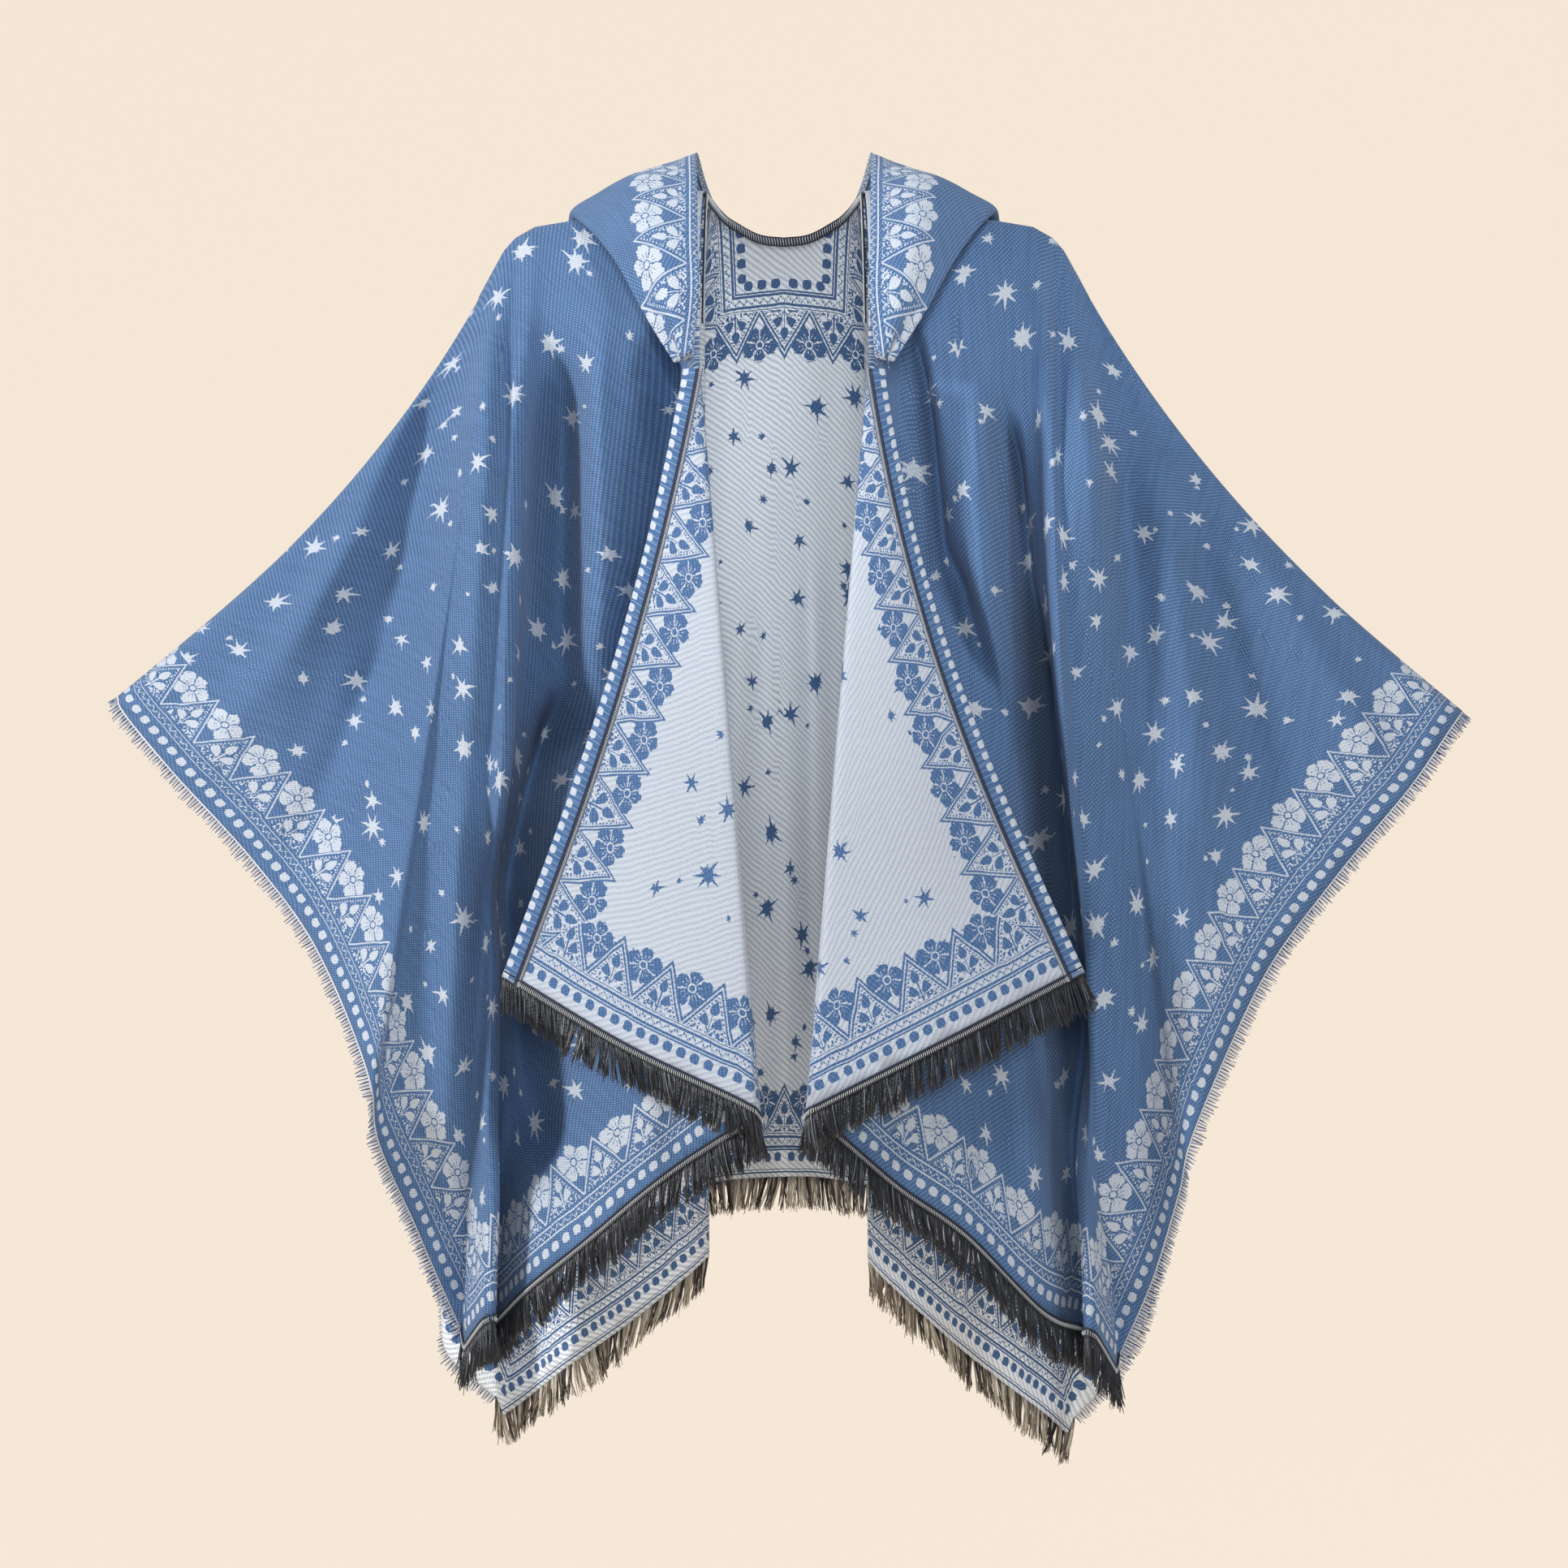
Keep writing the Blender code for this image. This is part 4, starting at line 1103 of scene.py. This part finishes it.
cords = bed(top, down, inward, NECK_ALLOWANCE, 0)
bars = stitches(top, down, inward, 5.4 * MM, 2.1 * MM, 0.8 * MM, 1.0 * MM)
rim = (top + down * NECK_ALLOWANCE)[None]
sets = (
    threads(cords, 0.75 * MM, np.where(np.arange(len(cords)) % 3, 0.35, 0.1), 5),
    threads(bars, 0.36 * MM, 0.9, 4), threads(rim, 0.7 * MM, 0.1, 5),
)
yarns("neck_overlock", sets, overlock_finish, "neck_seam")

# Fringes
# Cut warp ends below each hem, in small leaning bunches: charcoal in front, taupe and cream
# with black behind.
YARN_RADII = np.array((0.44, 0.44, 0.40, 0.24)) * MM
SWAY_STEP = 0.022
dice = np.random.default_rng(11)


def fringe(edge, above, pitch, length, drop, tuft):
    """Threads along a hem. Neighbours lie together in slim tufts that lean a little their own way."""
    run = run_of(edge)
    count = int(run[-1] / pitch)
    at = (np.arange(count) + dice.uniform(0.1, 0.9, count)) / count * run[-1]
    widths = dice.uniform(0.6 * tuft, 1.4 * tuft, int(1.6 * run[-1] / tuft) + 9)
    marks = np.concatenate(([0], np.cumsum(widths)))
    bunch = np.searchsorted(marks, at)
    middle = (marks[bunch - 1] + marks[bunch]) / 2
    root, gather, fall = read_at(at, run, edge), read_at(middle, run, edge), read_at(at, run, edge - above)
    knots = np.arange(0, run[-1] + 0.03, SWAY_STEP)
    sway = np.stack([np.interp(marks, knots, dice.normal(0, 1, len(knots))) for axis in range(3)], axis=1)
    lean = (sway * 0.10 + dice.normal(0, 1, sway.shape) * 0.05) * np.array((1, 0.9, 0.3))
    own_way = dice.normal(0, 0.03, (count, 3))
    hang = unit(unit(fall) * (1 - drop) + np.array((0, 0, -drop)) + lean[bunch] + own_way)
    scale = dice.uniform(0.93, 1.04, len(marks))[bunch] * dice.uniform(0.9, 1.05, count)
    size = (length * scale)[:, None]
    depth = dice.normal(0, 0.5 * MM, (count, 1)) * np.array((0, 1, 0))
    curl = dice.normal(0, 0.045, (count, 3))
    rings = []
    for t in (0, 0.25, 0.6, 1):
        pull = (gather - root) * (0.5 * t ** 0.6)
        rings.append(root + depth + hang * size * t + pull + (curl + lean[bunch] * 0.6) * size * t * t)
    return np.stack(rings, axis=1), np.tile(YARN_RADII, (count, 1)), bunch


# The charcoal yarn's palest tone, from 0.95, paints a few threads pale grey as painted glints.
charcoal = thread_finish(
    "fringe_charcoal_yarn",
    (
        (0, (0.010, 0.011, 0.015)), (0.45, (0.018, 0.02, 0.027)),
        (0.8, (0.045, 0.05, 0.062)), (0.95, (0.16, 0.17, 0.19)),
    ),
    0.42, 0.1, 0.5,
)
taupe = thread_finish(
    "fringe_taupe_yarn",
    (
        (0, (0.025, 0.022, 0.022)), (0.33, (0.17, 0.13, 0.095)),
        (0.55, (0.36, 0.30, 0.235)), (0.74, (0.62, 0.56, 0.46)),
    ),
    0.5, 0.1, 0.4,
)
for side in ("left", "right"):
    for part, length in (("front", 26.5), ("lapel", 25.5)):
        paths, radii = fringe(*hems[part + "_" + side], 0.27 * MM, length * MM, 0.5, 2.6 * MM)[:2]
        tone = dice.uniform(0, 1, len(paths))
        yarns(
            "fringe_yarn_" + part + "_" + side, [(paths, radii, tone, 3)], charcoal,
            "fringe_" + part + "_" + side,
        )
edge, above = (
    np.concatenate((left[::-1], right[1:])) for left, right in zip(hems["back_left"], hems["back_right"])
)
paths, radii, bunch = fringe(edge, above, 0.36 * MM, 25 * MM, 0.45, 2.2 * MM)
tone = dice.uniform(0, 1, bunch.max() + 2)[bunch] * 0.75 + dice.uniform(0, 0.3, len(paths))
yarns(
    "fringe_yarn_back", [(paths, radii, np.clip(tone, 0, 1), 3)], taupe, "fringe_back",
)

# Selvage fringe
# Short weft ends, blue and pale by turns, stand out along both long sides of the cloth.
SELVAGE_PITCH = 1.25 * MM
selvage_finish = thread_finish(
    "selvage_yarn", ((0, (0.03, 0.05, 0.12)), (0.3, (0.12, 0.2, 0.38)), (0.6, (0.66, 0.66, 0.69))),
    0.8, 0.1, 0.2, 0.25,
)
sets = []
for root, reach in selvages:
    root, reach = resampled((root, reach), SELVAGE_PITCH)
    lead = unit(np.gradient(root, axis=0))
    out = reach - root
    out = unit(out - lead * np.sum(out * lead, axis=1, keepdims=True))
    size = (SELVAGE_FRINGE * dice.uniform(0.85, 1.12, len(root)))[:, None]
    wisp = dice.normal(0, 0.06, (len(root), 3))
    paths = np.stack([root - out * MM + (out + wisp * t) * size * t for t in (0, 0.5, 1)], axis=1)
    radii = np.tile(np.array((0.5, 0.5, 0.3)) * MM, (len(root), 1))
    tone = np.array((0.1, 0.7, 0.4, 0.7))[np.arange(len(root)) % 4]
    sets.append((paths, radii, tone, 4))
    sets.append(threads((root + out * 0.2 * MM)[None], 0.85 * MM, 0.95, 5))
selvage = yarns("selvage_fringe", sets, selvage_finish)

# Studio
# A cream wall and a floor out of the picture, which glow softly and can't be seen from behind. Soft
# lights stand left, in front, above and right, and a narrow one shines through the front opening
# onto the inside of the back.
CREAM = (0.913, 0.799, 0.679)
CREAM_SHADE = (0.885, 0.77, 0.65)
WALL_GLOW = 1.03
WALL_Y, FLOOR_Z, WALL_HALF, WALL_TOP = 0.42, -1.25, 4.0, 3.0
LIT_HEIGHT = -0.42
INNER_LIT_HEIGHT = -0.16
wall_mesh = bpy.data.meshes.new("studio_wall")
wall_mesh.from_pydata(
    [
        (-WALL_HALF, WALL_Y, FLOOR_Z), (WALL_HALF, WALL_Y, FLOOR_Z),
        (WALL_HALF, WALL_Y, WALL_TOP), (-WALL_HALF, WALL_Y, WALL_TOP),
        (-WALL_HALF, -WALL_HALF, FLOOR_Z), (WALL_HALF, -WALL_HALF, FLOOR_Z),
    ],
    [], [(0, 1, 2, 3), (4, 5, 1, 0)],
)
wall, tree, shader = finished("studio_cream", 0.95, 0, 0)
noise = tree.nodes.new("ShaderNodeTexNoise")
noise.inputs["Scale"].default_value = 0.8
cloudy = Reading(tree, noise.outputs[0]).between(0.4, 0.7)
tree.links.new(mixed(tree, CREAM, CREAM_SHADE, cloudy), shader.inputs["Emission Color"])
shader.inputs["Base Color"].default_value = (0, 0, 0, 1)
shader.inputs["Emission Strength"].default_value = WALL_GLOW
from_behind = Reading(tree, tree.nodes.new("ShaderNodeNewGeometry").outputs["Backfacing"])
tree.links.new(from_behind.without().socket, shader.inputs["Alpha"])
wall_mesh.materials.append(wall)
wall_piece = bpy.data.objects.new("studio_wall", wall_mesh)
bpy.context.collection.objects.link(wall_piece)

world = bpy.data.worlds.new("studio")
world.use_nodes = True
sky = world.node_tree.nodes["Background"]
sky.inputs["Color"].default_value = (0.86, 0.93, 1, 1)
sky.inputs["Strength"].default_value = 0.12
bpy.context.scene.world = world
for name, place, size, power, colour in (
    ("key", (-2.8, -1.35, 0.6), 0.6, 98, (1, 1, 0.99)),
    ("front", (0, -3.3, -0.1), 0.8, 35, (0.95, 0.98, 1)),
    ("high", (0.7, -1.6, 2.1), 0.6, 30, (0.97, 0.99, 1)),
    ("side", (2.2, -2.0, 0.8), 0.8, 22, (0.95, 0.98, 1)),
    ("inner", (0, -2.6, 0.5), 0.2, 80, (0.97, 0.99, 1)),
):
    narrow = name == "inner"
    light = bpy.data.lights.new(name, "SPOT" if narrow else "AREA")
    if narrow:
        light.spot_size = math.radians(13)
        light.spot_blend = 1
        light.shadow_soft_size = size / 2
    else:
        light.size = size
    light.energy = power
    light.color = colour
    lamp = bpy.data.objects.new(name, light)
    lamp.location = place
    aim = np.array((0, 0, INNER_LIT_HEIGHT if narrow else LIT_HEIGHT)) - np.array(place)
    lamp.rotation_euler = (
        math.atan2(math.hypot(aim[0], aim[1]), -aim[2]), 0, math.atan2(aim[1], aim[0]) - math.pi / 2,
    )
    bpy.context.collection.objects.link(lamp)
bpy.context.scene.view_settings.view_transform = "Standard"
